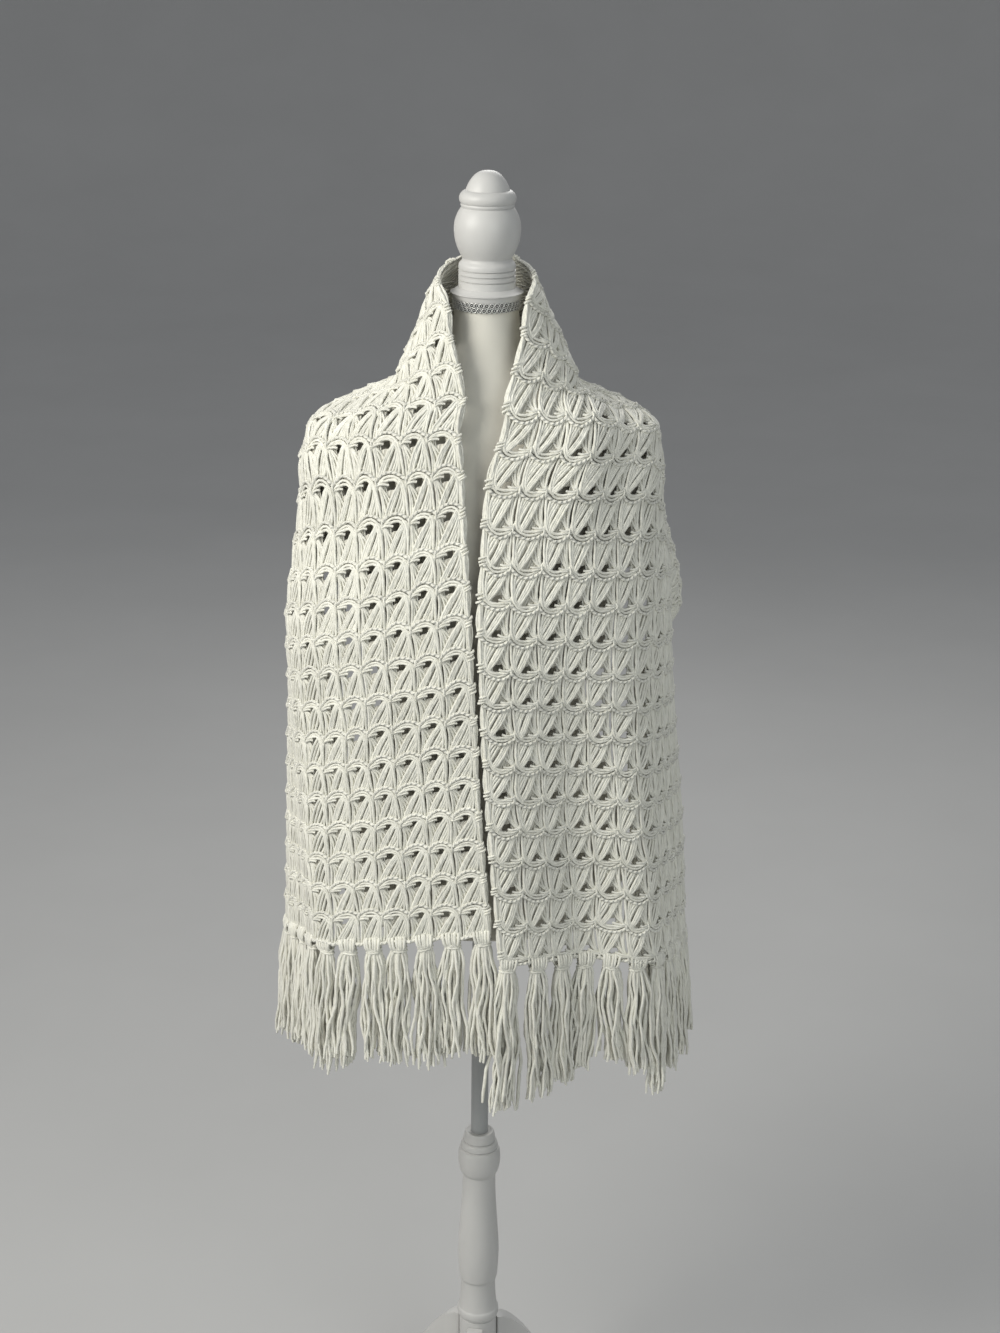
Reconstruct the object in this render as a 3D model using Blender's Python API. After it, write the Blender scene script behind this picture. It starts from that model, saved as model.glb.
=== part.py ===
"""A crocheted shawl worn by a limbless dress form on a turned wooden stand.

Metres, +Z up, the floor at zero. The front faces -Y, and +X is the viewer's right. A "drop" is a
distance down from the top of the form's neck. The shawl is one long strip of lace: "row" counts its
stitch rows from the left hem, round the neck, to the right hem, and "across" runs from 0 at the edge
that frames the neck to 1 at the edge that hangs over the back.
"""

import bmesh
import bpy
import numpy as np
from math import cos, pi, radians, sin

for old in list(bpy.data.objects):
    bpy.data.objects.remove(old)

# Driving dimensions
NECK_TOP = 1.55
GAP = 0.0003
ROWS = 45
GROUPS = 15
GROUP_CROWDING = 0.13
CLOTH = 0.004
ROPE_RISE = 0.0016
ROPE_DIP = 0.0006
SCALLOP = 0.004
EYES = 168
CLOSE_ROWS = (16, 29)
WIDEST_LEFT = (11.0, 5.0)
WIDEST_RIGHT = (36.0, 7.0)
EYE_PLACE = 0.75
EYE_HALF_ROW = 0.12
EYE_HALF_GROUP = 0.15
SQUARENESS = 0.85
LATE_FALL = 9
LINE_STEPS = 80
LINE_CROWDING = 1.6
EDGE_STEP = 0.03
TURN_STEP = 2.5
DROP_STEP = 0.004

LEFT_END = 18
RIGHT_START = 27
PARTING = 0.012

STRANDS_ACROSS = 4
STRANDS_DEEP = 2
STRAND = 0.0038
KNOT_WIDTH = 0.0195
KNOT_DEPTH = 0.0105
KNOT_HEIGHT = 0.013
HEM_GAP = 0.0005
KNOT_ROW_STEP = 0.25
FRINGE_SPLAY = 0.05
STRAND_SPREAD = 0.35
STRAND_WANDER = 0.004
LENGTH_SPREAD = 0.16
STRAND_STATIONS = ((0.0, 0.0, 0.9), (0.42, 0.75, 1.0), (1.0, 1.0, 0.8))

ROUND_SIDES = 20
HUB_SIDES = 24
BODY_SIDES = 24
TRIM_TOP = 0.0095
TRIM_BOTTOM = 0.0210
TRIM_INNER = 0.0363
TRIM_OUTER = 0.0384

POLE_RADIUS = 0.0108
BODY_BOTTOM = 0.76
COLUMN_TOP = 1.067
HUB_TOP = 1.3455
HUB_BOTTOM = 1.462
HUB_RADIUS = 0.024
LEG_THICKNESS = 0.020
LEG_REACH = 0.245
LEG_TURNS = (-8.0, 112.0, 232.0)


def table(columns, *rows):
    """Rows of numbers under named columns."""
    values = np.array(rows, float)
    return {name: values[:, i] for i, name in enumerate(columns.split())}


# The shape that the draped cloth follows: level sections of an oval, by their drop.
CAPE = table(
    "drop left right front back",
    (-0.050, 0.043, 0.043, 0.040, 0.058),
    (-0.033, 0.046, 0.046, 0.044, 0.061),
    (0.000, 0.062, 0.060, 0.052, 0.066),
    (0.040, 0.077, 0.077, 0.061, 0.072),
    (0.080, 0.094, 0.095, 0.073, 0.083),
    (0.108, 0.112, 0.112, 0.085, 0.094),
    (0.122, 0.148, 0.148, 0.092, 0.101),
    (0.140, 0.187, 0.184, 0.098, 0.108),
    (0.170, 0.203, 0.196, 0.107, 0.118),
    (0.240, 0.210, 0.201, 0.126, 0.130),
    (0.305, 0.219, 0.210, 0.143, 0.136),
    (0.360, 0.228, 0.214, 0.149, 0.139),
    (0.485, 0.227, 0.221, 0.149, 0.137),
    (0.680, 0.231, 0.240, 0.152, 0.142),
    (0.820, 0.238, 0.250, 0.160, 0.150),
)

# Where each row starts and ends on that shape. "around" is degrees from the front, by the left.
EDGES = table(
    "row around_in drop_in around_out drop_out early swing",
    (0, -2.4, 0.714, 122, 0.795, 0.95, 1.0),
    (4, 0.8, 0.559, 127, 0.675, 0.93, 1.0),
    (8, 3.0, 0.405, 127, 0.560, 0.75, 1.0),
    (12, 5.8, 0.251, 121, 0.440, 0.55, 1.0),
    (15, 9.5, 0.135, 114, 0.385, 0.18, 1.0),
    (16.5, 17.0, 0.082, 124, 0.355, 0.24, 0.85),
    (18, 31.0, 0.036, 142, 0.335, 0.48, 0.65),
    (19.2, 46.0, 0.000, 155, 0.328, 0.80, 0.5),
    (21, 132.0, -0.028, 170, 0.347, 0.97, 0.6),
    (22.5, 180.0, -0.033, 180, 0.362, 1.00, 0.7),
    (24, 228.0, -0.028, 190, 0.347, 0.97, 0.6),
    (25.8, 312.0, 0.000, 205, 0.328, 0.80, 0.5),
    (27, 330.0, 0.040, 218, 0.335, 0.50, 0.65),
    (28.5, 347.0, 0.098, 237, 0.360, 0.22, 0.85),
    (30, 356.5, 0.157, 250, 0.392, 0.15, 1.0),
    (33, 361.0, 0.277, 244, 0.440, 0.28, 1.0),
    (37, 360.5, 0.432, 233, 0.535, 0.55, 1.0),
    (41, 358.0, 0.585, 231, 0.665, 0.80, 1.0),
    (45, 355.0, 0.745, 231, 0.808, 0.95, 1.0),
)

# Soft folds: the cloth's rise from that shape (a valley is less than zero), and how each one leans.
FOLDS = table(
    "row across long wide rise lean",
    (0.0, 0.16, 9.0, 0.10, -0.006, 0.004),
    (0.0, 0.46, 8.0, 0.08, 0.011, 0.006),
    (2.0, 0.62, 8.0, 0.07, -0.008, 0.004),
    (14.0, 0.33, 3.0, 0.05, -0.007, 0.000),
    (8.0, 0.80, 7.0, 0.07, 0.008, 0.004),
    (15.0, 0.97, 3.0, 0.13, 0.012, 0.000),
    (19.5, 0.86, 1.3, 0.30, 0.014, 0.000),
    (21.3, 0.92, 0.9, 0.25, -0.008, 0.000),
    (22.8, 0.90, 1.0, 0.34, 0.010, 0.000),
    (25.2, 0.88, 1.2, 0.28, 0.014, 0.000),
    (29.8, 0.22, 3.2, 0.07, 0.006, 0.010),
    (29.5, 0.34, 3.0, 0.06, -0.006, 0.010),
    (29.4, 1.00, 1.5, 0.21, 0.040, 0.000),
    (38.0, 0.80, 6.0, 0.07, 0.007, -0.004),
    (45.0, 0.02, 9.0, 0.07, 0.007, 0.000),
    (45.0, 0.25, 9.0, 0.10, -0.019, 0.000),
    (45.0, 0.42, 8.0, 0.07, 0.010, -0.003),
    (44.0, 0.60, 7.0, 0.08, -0.006, 0.000),
)

# How long the fringe hangs along each hem.
FRINGE = table(
    "across left right",
    (0.00, 0.152, 0.178),
    (0.06, 0.153, 0.186),
    (0.14, 0.149, 0.164),
    (0.20, 0.158, 0.160),
    (0.29, 0.146, 0.134),
    (0.38, 0.147, 0.138),
    (0.45, 0.163, 0.166),
    (0.55, 0.140, 0.148),
    (0.70, 0.148, 0.142),
    (0.85, 0.155, 0.152),
    (1.00, 0.145, 0.150),
)

# Half-width and half-depth of the form's level sections, by their drop.
FORM = table(
    "drop wide front back",
    (0.0091, 0.036, 0.036, 0.036),
    (0.0225, 0.036, 0.036, 0.036),
    (0.045, 0.039, 0.039, 0.040),
    (0.075, 0.052, 0.045, 0.050),
    (0.100, 0.080, 0.055, 0.060),
    (0.120, 0.1205, 0.064, 0.0725),
    (0.142, 0.1535, 0.073, 0.0825),
    (0.165, 0.174, 0.082, 0.090),
    (0.200, 0.186, 0.094, 0.100),
    (0.250, 0.178, 0.109, 0.104),
    (0.315, 0.163, 0.122, 0.098),
    (0.390, 0.146, 0.110, 0.088),
    (0.470, 0.118, 0.086, 0.082),
    (0.540, 0.144, 0.096, 0.100),
    (0.620, 0.171, 0.106, 0.116),
    (0.700, 0.173, 0.104, 0.112),
    (0.748, 0.158, 0.094, 0.100),
    (BODY_BOTTOM, 0.140, 0.082, 0.088),
)

# Turned profiles, top to bottom, as radius and drop.
FINIAL = table(
    "radius drop",
    (0.0100, -0.1320),
    (0.0165, -0.1275),
    (0.0212, -0.1195),
    (0.0234, -0.1110),
    (0.0278, -0.1108),
    (0.0305, -0.1080),
    (0.0313, -0.1040),
    (0.0305, -0.0995),
    (0.0272, -0.0955),
    (0.0322, -0.0880),
    (0.0359, -0.0790),
    (0.0370, -0.0690),
    (0.0358, -0.0590),
    (0.0325, -0.0490),
    (0.0275, -0.0405),
    (0.0258, -0.0380),
    (0.0280, -0.0345),
    (0.0300, -0.0325),
    (0.0317, -0.0300),
    (0.0317, -GAP),
)
CAP = table(
    "radius drop",
    (0.0392, 0.0),
    (0.0400, 0.0010),
    (0.0400, 0.0040),
    (0.0378, 0.0088),
)
COLUMN = table(
    "radius drop",
    (0.0170, COLUMN_TOP),
    (0.0190, COLUMN_TOP + 0.0015),
    (0.0190, COLUMN_TOP + 0.0080),
    (0.0235, COLUMN_TOP + 0.0190),
    (0.0235, COLUMN_TOP + 0.0230),
    (0.0258, COLUMN_TOP + 0.0270),
    (0.0267, 1.1120),
    (0.0258, 1.1220),
    (0.0218, 1.1310),
    (0.0208, 1.1400),
    (0.0216, 1.1650),
    (0.0238, 1.2000),
    (0.0258, 1.2300),
    (0.0263, 1.2450),
    (0.0258, 1.2650),
    (0.0244, 1.2850),
    (0.0225, 1.2915),
    (0.0220, 1.2960),
    (0.0228, 1.3150),
    (0.0250, 1.3290),
    (0.0256, 1.3325),
    (0.0270, 1.3355),
    (0.0270, 1.3420),
    (0.0256, HUB_TOP - GAP),
)
HUB = table(
    "radius drop",
    (0.0225, HUB_TOP),
    (HUB_RADIUS, HUB_TOP + 0.003),
    (HUB_RADIUS, HUB_BOTTOM - 0.004),
    (0.0200, HUB_BOTTOM),
)
# A leg's upper and lower edges, from the hub to the toe: reach from the axis and height.
LEG_TOP = table(
    "reach height",
    (HUB_RADIUS + GAP, 0.196),
    (0.040, 0.192),
    (0.064, 0.168),
    (0.092, 0.128),
    (0.126, 0.084),
    (0.166, 0.052),
    (0.206, 0.036),
    (0.232, 0.028),
    (LEG_REACH, 0.014),
)
LEG_UNDER = table(
    "reach height",
    (HUB_RADIUS + GAP, 0.100),
    (0.046, 0.086),
    (0.078, 0.054),
    (0.112, 0.031),
    (0.150, 0.018),
    (0.186, 0.010),
    (0.206, 0.0),
    (LEG_REACH - 0.004, 0.0),
)


def material(name, colour, roughness, metallic=0.0):
    made = bpy.data.materials.new(name)
    made.use_nodes = True
    shader = made.node_tree.nodes["Principled BSDF"]
    shader.inputs["Base Color"].default_value = (*colour, 1.0)
    shader.inputs["Roughness"].default_value = roughness
    shader.inputs["Metallic"].default_value = metallic
    return made


YARN = material("yarn", (0.80, 0.79, 0.74), 0.90)
FABRIC = material("form_fabric", (0.66, 0.62, 0.52), 0.92)
PAINT = material("white_paint", (0.78, 0.78, 0.77), 0.38)
POLE_PAINT = material("grey_paint", (0.42, 0.43, 0.45), 0.40)
SILVER = material("silver_braid", (0.62, 0.62, 0.60), 0.35, 0.8)


def new_object(name, mesh_builder, finish, smooth=True):
    """An object from a bmesh, its faces turned outwards."""
    bmesh.ops.recalc_face_normals(mesh_builder, faces=mesh_builder.faces)
    mesh = bpy.data.meshes.new(name)
    mesh_builder.to_mesh(mesh)
    mesh_builder.free()
    mesh.materials.append(finish)
    if smooth:
        mesh.shade_smooth()
        mesh.set_sharp_from_angle(angle=radians(40))
    made = bpy.data.objects.new(name, mesh)
    bpy.context.collection.objects.link(made)
    return made


def eased(at, places, values):
    """A smooth curve through a table's values."""
    at = np.asarray(at, float)
    slopes = np.gradient(values, places)
    i = np.clip(np.searchsorted(places, at) - 1, 0, len(places) - 2)
    step = places[i + 1] - places[i]
    t = np.clip((at - places[i]) / step, 0.0, 1.0)
    back = 1.0 - t
    start = (1 + 2 * t) * back**2 * values[i] + t * back**2 * step * slopes[i]
    end = t**2 * (3 - 2 * t) * values[i + 1] - t**2 * back * step * slopes[i + 1]
    return start + end


def cape(around, drop):
    """Points of the draped shape at these angles and drops."""
    turn = np.radians(around)
    left, right, front, back = (
        eased(drop, CAPE["drop"], CAPE[side]) for side in ("left", "right", "front", "back")
    )
    across = np.where(np.sin(turn) > 0, left, right)
    depth = np.where(np.cos(turn) > 0, front, back)
    x = -across * np.sin(turn)
    y = -depth * np.sign(np.cos(turn)) * np.abs(np.cos(turn)) ** SQUARENESS
    return np.stack([x, y, NECK_TOP - drop], axis=-1)


def hung(row, across):
    """The angle and drop of each place. Equal steps across are equal lengths of each row."""
    row, across = np.broadcast_arrays(np.asarray(row, float), np.asarray(across, float))
    flat_rows, which = np.unique(row.reshape(-1), return_inverse=True)
    share = np.linspace(0.0, 1.0, LINE_STEPS + 1) ** LINE_CROWDING
    edge = {name: eased(flat_rows, EDGES["row"], EDGES[name])[:, None] for name in EDGES}
    around = edge["around_in"] + (edge["around_out"] - edge["around_in"]) * share ** edge["swing"]
    fall = edge["early"] * share + (1 - edge["early"]) * share**LATE_FALL
    drop = edge["drop_in"] + (edge["drop_out"] - edge["drop_in"]) * fall
    length = np.linalg.norm(np.diff(cape(around, drop), axis=1), axis=2).cumsum(axis=1)
    found = np.empty((2, row.size))
    flat_across = across.reshape(-1)
    for i in range(len(flat_rows)):
        mine = which == i
        walked = np.concatenate([[0.0], length[i]]) / length[i][-1]
        found[0, mine] = np.interp(flat_across[mine], walked, around[i])
        found[1, mine] = np.interp(flat_across[mine], walked, drop[i])
    return found[0].reshape(row.shape), found[1].reshape(row.shape)


def unfolded(row, across):
    """Points of the cloth before its folds."""
    return cape(*hung(row, across))


def beyond(row, across):
    """Points of the unfolded cloth, carried straight on past its two edges."""
    inside = np.clip(across, 0.0, 1.0)
    near = np.clip(across, EDGE_STEP, 1.0 - EDGE_STEP)
    edge = unfolded(row, inside)
    past = np.abs(across - inside)[..., None] / EDGE_STEP
    return edge + past * (edge - unfolded(row, near))


def outward(row, across):
    """The direction away from the form at these points of the cloth."""
    around, drop = hung(row, np.clip(across, 0, 1))
    level = cape(around - TURN_STEP, drop) - cape(around + TURN_STEP, drop)
    fall = cape(around, drop + DROP_STEP) - cape(around, drop - DROP_STEP)
    normal = np.cross(fall, level)
    return normal / np.linalg.norm(normal, axis=-1, keepdims=True)


def cloth(row, across, lift=0.0):
    """Points of the folded cloth, moved out by lift."""
    row, across = np.broadcast_arrays(np.asarray(row, float), np.asarray(across, float))
    rise = np.zeros(row.shape)
    for i in range(len(FOLDS["row"])):
        away = row - FOLDS["row"][i]
        off = across - FOLDS["across"][i] - FOLDS["lean"][i] * away
        shape = np.exp(-((away / FOLDS["long"][i]) ** 2) - (off / FOLDS["wide"][i]) ** 2)
        rise = rise + FOLDS["rise"][i] * shape
    return beyond(row, across) + outward(row, across) * (rise + lift)[..., None]


def stitch(count):
    """How far across this many stitch groups reach from the neck's edge. The first are the widest."""
    share = np.asarray(count, float) / GROUPS
    return SCALLOP + (1 - 2 * SCALLOP) * share * (1 + GROUP_CROWDING * (1 - share))


def lace_points(places, lift):
    """Cloth points for a list of (row, across) places."""
    row, across = np.array(places, float).T
    return cloth(row, across, lift)


def open_eyes():
    """The cells whose eye stands open, as (row, group) pairs. Round the neck the eyes are shut."""
    uneven = np.random.default_rng(11).random((ROWS, GROUPS))
    row, group = np.mgrid[0:ROWS, 0:GROUPS]
    on_left = row < ROWS / 2
    near_edge = np.exp(-(((group - 2.0) / 3.0) ** 2))
    middle, long = np.where(on_left[..., None], WIDEST_LEFT, WIDEST_RIGHT).transpose(2, 0, 1)
    on_front = np.exp(-(((row - middle) / long) ** 2))
    width = uneven + np.where(on_left, 0.75 * near_edge, 0.50) + 0.55 * on_front - 0.05 * group
    width[CLOSE_ROWS[0] : CLOSE_ROWS[1]] = 0.0
    ranked = np.argsort(-width, axis=None)[:EYES]
    return {(int(i) // GROUPS, int(i) % GROUPS) for i in ranked}


def lace(name, first, last, eyes):
    """One stretch of the shawl: a wall with a raised rope at each row, and its open eyes cut."""
    lines = [float(row) for row in range(first, last + 1)]
    if first > 0:
        lines[0] += PARTING
    if last < ROWS:
        lines[-1] -= PARTING
    places, lifts = [], []

    def place(row, across, lift):
        places.append((row, across))
        lifts.append(lift)
        return len(places) - 1

    def both(row, across, lift):
        return place(row, across, lift), place(row, across, -CLOTH)

    ropes, sides = [], []
    for row in lines:
        ropes.append([both(row, stitch(g), ROPE_RISE) for g in range(GROUPS + 1)])
    for low, high in zip(lines, lines[1:]):
        middle = (low + high) / 2
        sides.append([both(middle, -SCALLOP, 0.0), both(middle, 1 + SCALLOP, 0.0)])

    faces = []
    for r in range(len(lines) - 1):
        for g in range(GROUPS):
            low_in, low_out = ropes[r][g], ropes[r][g + 1]
            high_in, high_out = ropes[r + 1][g], ropes[r + 1][g + 1]
            ring = [low_in]
            if g == 0:
                ring.append(sides[r][0])
            ring += [high_in, high_out]
            if g == GROUPS - 1:
                ring.append(sides[r][1])
            ring.append(low_out)
            share = stitch(g + 0.5)
            if (first + r, g) in eyes:
                eye_row = lines[r] + (lines[r + 1] - lines[r]) * EYE_PLACE
                tall, wide = EYE_HALF_ROW, EYE_HALF_GROUP * (stitch(g + 1) - stitch(g))
                top, bottom = both(eye_row + tall, share, 0.0), both(eye_row - tall, share, 0.0)
                inner, outer = both(eye_row, share - wide, 0.0), both(eye_row, share + wide, 0.0)
                start = [sides[r][0]] if g == 0 else []
                end = [sides[r][1]] if g == GROUPS - 1 else []
                around = [
                    (bottom, [low_out, low_in]),
                    (inner, [low_in, *start, high_in]),
                    (top, [high_in, high_out]),
                    (outer, [high_out, *end, low_out]),
                ]
                for k in (0, 1):
                    for corner, reach in around:
                        for a, b in zip(reach, reach[1:]):
                            faces.append((corner[k], a[k], b[k]))
                    faces.append((low_in[k], bottom[k], inner[k]))
                    faces.append((high_in[k], inner[k], top[k]))
                    faces.append((high_out[k], top[k], outer[k]))
                    faces.append((low_out[k], outer[k], bottom[k]))
                for a, b in ((bottom, inner), (inner, top), (top, outer), (outer, bottom)):
                    faces.append((a[0], b[0], b[1], a[1]))
            else:
                middle = place((lines[r] + lines[r + 1]) / 2, share, -ROPE_DIP)
                for a, b in zip(ring, ring[1:] + ring[:1]):
                    faces.append((middle, a[0], b[0]))
                faces.append(tuple(point[1] for point in ring))
    for r in range(len(lines) - 1):
        for g, side in ((0, 0), (GROUPS, 1)):
            for a, b in ((ropes[r][g], sides[r][side]), (sides[r][side], ropes[r + 1][g])):
                faces.append((a[0], b[0], b[1], a[1]))
    for line in (ropes[0], ropes[-1]):
        for a, b in zip(line, line[1:]):
            faces.append((a[0], b[0], b[1], a[1]))

    builder = bmesh.new()
    verts = [builder.verts.new(point) for point in lace_points(places, np.array(lifts))]
    for face in faces:
        builder.faces.new([verts[i] for i in face])
    return new_object(name, builder, YARN)


def quad_tube(builder, rings):
    """Four-sided skin from ring to ring of corner vertices."""
    for low, high in zip(rings, rings[1:]):
        for i in range(4):
            builder.faces.new((low[i], low[(i + 1) % 4], high[(i + 1) % 4], high[i]))


def tassel(name, row, number, draw):
    """One tassel: a knot under the hem, with its strands hanging from the knot's underside."""
    shares = stitch([number, number + 1])
    away_row = row + (KNOT_ROW_STEP if row == 0 else -KNOT_ROW_STEP)
    lift = (ROPE_RISE - CLOTH) / 2
    ends = cloth(np.array([row, row]), shares, lift)
    inward = cloth(np.array([away_row, away_row]), shares, lift)
    middle = ends.mean(axis=0)
    along = ends[1] - ends[0]
    along /= np.linalg.norm(along)
    away = middle - inward.mean(axis=0)
    away -= along * away.dot(along)
    away /= np.linalg.norm(away)
    through = np.cross(along, away)

    def corner(s, t, d):
        return builder.verts.new(middle + along * s + through * t + away * (HEM_GAP + d))

    builder = bmesh.new()
    s_steps = np.linspace(-KNOT_WIDTH / 2, KNOT_WIDTH / 2, STRANDS_ACROSS + 1)
    t_steps = np.linspace(-KNOT_DEPTH / 2, KNOT_DEPTH / 2, STRANDS_DEEP + 1)
    under = [[corner(s, t, KNOT_HEIGHT) for t in t_steps] for s in s_steps]
    top = [
        corner(s_steps[0], t_steps[0], 0.0),
        corner(s_steps[-1], t_steps[0], 0.0),
        corner(s_steps[-1], t_steps[-1], 0.0),
        corner(s_steps[0], t_steps[-1], 0.0),
    ]
    builder.faces.new(top)
    builder.faces.new([top[0], top[1]] + [under[i][0] for i in range(STRANDS_ACROSS, -1, -1)])
    builder.faces.new([top[1], top[2]] + [under[-1][j] for j in range(STRANDS_DEEP, -1, -1)])
    builder.faces.new([top[2], top[3]] + [under[i][-1] for i in range(STRANDS_ACROSS + 1)])
    builder.faces.new([top[3], top[0]] + [under[0][j] for j in range(STRANDS_DEEP + 1)])

    length = eased(stitch(number + 0.5), FRINGE["across"], FRINGE["left" if row == 0 else "right"])
    level = np.array([through[0], through[1], 0.0])
    level *= np.sign(level.dot([middle[0], middle[1], 0.0])) / np.linalg.norm(level)
    flat_along = np.array([along[0], along[1], 0.0])
    flat_along /= np.linalg.norm(flat_along)
    down = np.array([0.0, 0.0, -1.0]) + level * FRINGE_SPLAY
    for i in range(STRANDS_ACROSS):
        for j in range(STRANDS_DEEP):
            cell = (under[i][j], under[i + 1][j], under[i + 1][j + 1], under[i][j + 1])
            root = sum((np.array(v.co) for v in cell), np.zeros(3)) / 4
            s = (s_steps[i] + s_steps[i + 1]) / 2
            t = (t_steps[j] + t_steps[j + 1]) / 2 * np.sign(through.dot(level))
            spread = flat_along * s * STRAND_SPREAD + level * t * STRAND_SPREAD
            stray = (draw.random(3) - 0.5) * (STRAND_WANDER, STRAND_WANDER, LENGTH_SPREAD)
            wander = flat_along * stray[0] + level * stray[1]
            reach = length * (1.0 + stray[2]) - KNOT_HEIGHT
            rings = [cell]
            for share_down, share_out, size in STRAND_STATIONS:
                centre = root + down * reach * share_down + spread * share_out + wander * share_down
                half = STRAND * size / 2
                if share_down == 0.0:
                    flat = [along, through]
                else:
                    flat = [flat_along, level * np.sign(through.dot(level))]
                ring = []
                for a, b in ((-1, -1), (1, -1), (1, 1), (-1, 1)):
                    offset = (flat[0] * a + flat[1] * b) * half
                    ring.append(builder.verts.new(centre + offset))
                rings.append(ring)
            quad_tube(builder, rings)
            builder.faces.new(rings[-1])
    return new_object(name, builder, YARN, smooth=False)


def ringed(name, rings, finish):
    """A closed solid through rings of points, with a flat face at each end."""
    builder = bmesh.new()
    loops = [[builder.verts.new(point) for point in ring] for ring in rings]
    for low, high in zip(loops, loops[1:]):
        for i in range(len(low)):
            after = (i + 1) % len(low)
            builder.faces.new((low[i], low[after], high[after], high[i]))
    builder.faces.new(loops[0])
    builder.faces.new(loops[-1])
    return new_object(name, builder, finish)


def circle(radius, drop, sides):
    turns = np.arange(sides) * 2 * pi / sides
    return [(radius * cos(turn), radius * sin(turn), NECK_TOP - drop) for turn in turns]


def turned(name, profile, finish, sides):
    """A turned piece from its profile."""
    rings = [circle(radius, drop, sides) for radius, drop in zip(profile["radius"], profile["drop"])]
    return ringed(name, rings, finish)


def form_ring(wide, front, back, drop, sides):
    ring = []
    for turn in np.arange(sides) * 2 * pi / sides:
        depth = front if sin(turn) < 0 else back
        ring.append((wide * cos(turn), depth * sin(turn), NECK_TOP - drop))
    return ring


def form_body():
    """The padded body, from its neck to its flat underside."""
    sections = zip(FORM["wide"], FORM["front"], FORM["back"], FORM["drop"])
    rings = [form_ring(wide, front, back, drop, BODY_SIDES) for wide, front, back, drop in sections]
    return ringed("form_body", rings, FABRIC)


def neck_trim():
    """A flat ring of braid round the top of the neck."""
    builder = bmesh.new()
    corners = (
        (TRIM_INNER, TRIM_TOP),
        (TRIM_OUTER, TRIM_TOP),
        (TRIM_OUTER, TRIM_BOTTOM),
        (TRIM_INNER, TRIM_BOTTOM),
    )
    rings = [
        [builder.verts.new(point) for point in circle(radius, drop, BODY_SIDES)]
        for radius, drop in corners
    ]
    for low, high in zip(rings, rings[1:] + rings[:1]):
        for i in range(BODY_SIDES):
            after = (i + 1) % BODY_SIDES
            builder.faces.new((low[i], low[after], high[after], high[i]))
    return new_object("neck_trim", builder, SILVER)


def leg(name, turn_degrees):
    """One curved board: its outline, given its thickness and turned about the axis."""
    outline = list(zip(LEG_TOP["reach"], LEG_TOP["height"]))
    outline += list(zip(LEG_UNDER["reach"][::-1], LEG_UNDER["height"][::-1]))
    turn = radians(turn_degrees)
    out = np.array([sin(turn), -cos(turn), 0.0])
    side = np.array([cos(turn), sin(turn), 0.0])
    up = np.array([0.0, 0.0, 1.0])
    rings = []
    for half in (-LEG_THICKNESS / 2, LEG_THICKNESS / 2):
        rings.append([out * reach + up * height + side * half for reach, height in outline])
    return ringed(name, rings, PAINT)


def centre_all():
    """Moves the whole part so that its footprint is centred on the origin."""
    low, high = np.full(3, np.inf), np.full(3, -np.inf)
    for made in bpy.data.objects:
        corners = np.array([made.matrix_world @ vertex.co for vertex in made.data.vertices])
        low, high = np.minimum(low, corners.min(axis=0)), np.maximum(high, corners.max(axis=0))
    shift = -(low + high) / 2
    for made in bpy.data.objects:
        for vertex in made.data.vertices:
            vertex.co.x += shift[0]
            vertex.co.y += shift[1]


widest = open_eyes()
lace("shawl_left_front", 0, LEFT_END, widest)
lace("shawl_neck_and_back", LEFT_END, RIGHT_START, widest)
lace("shawl_right_front", RIGHT_START, ROWS, widest)
wander_draw = np.random.default_rng(5)
for number in range(GROUPS):
    tassel(f"tassel_left_{number + 1:02d}", 0, number, wander_draw)
    tassel(f"tassel_right_{number + 1:02d}", ROWS, number, wander_draw)
form_body()
neck_trim()
turned("neck_cap", CAP, PAINT, ROUND_SIDES)
turned("finial", FINIAL, PAINT, ROUND_SIDES)
turned("column", COLUMN, PAINT, ROUND_SIDES)
turned("hub", HUB, PAINT, HUB_SIDES)
pole_ends = (BODY_BOTTOM + GAP, COLUMN_TOP - GAP)
ringed("pole", [circle(POLE_RADIUS, drop, ROUND_SIDES) for drop in pole_ends], POLE_PAINT)
for place_name, turn_degrees in zip(("front", "right", "left"), LEG_TURNS):
    leg(f"leg_{place_name}", turn_degrees)
centre_all()
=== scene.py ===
"""A crocheted shawl of lace yarn, worn by a limbless dress form on a turned wooden stand.

The sections follow the order in which the real thing is put together: stand, form, shawl, fringe.
A "drop" is a distance down from the top of the form's neck, which is 1.55 m above the floor.
"""

from math import cos, pi, radians, sin

import bmesh
import bpy
import numpy as np
from mathutils import Euler, Matrix, Vector


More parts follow.
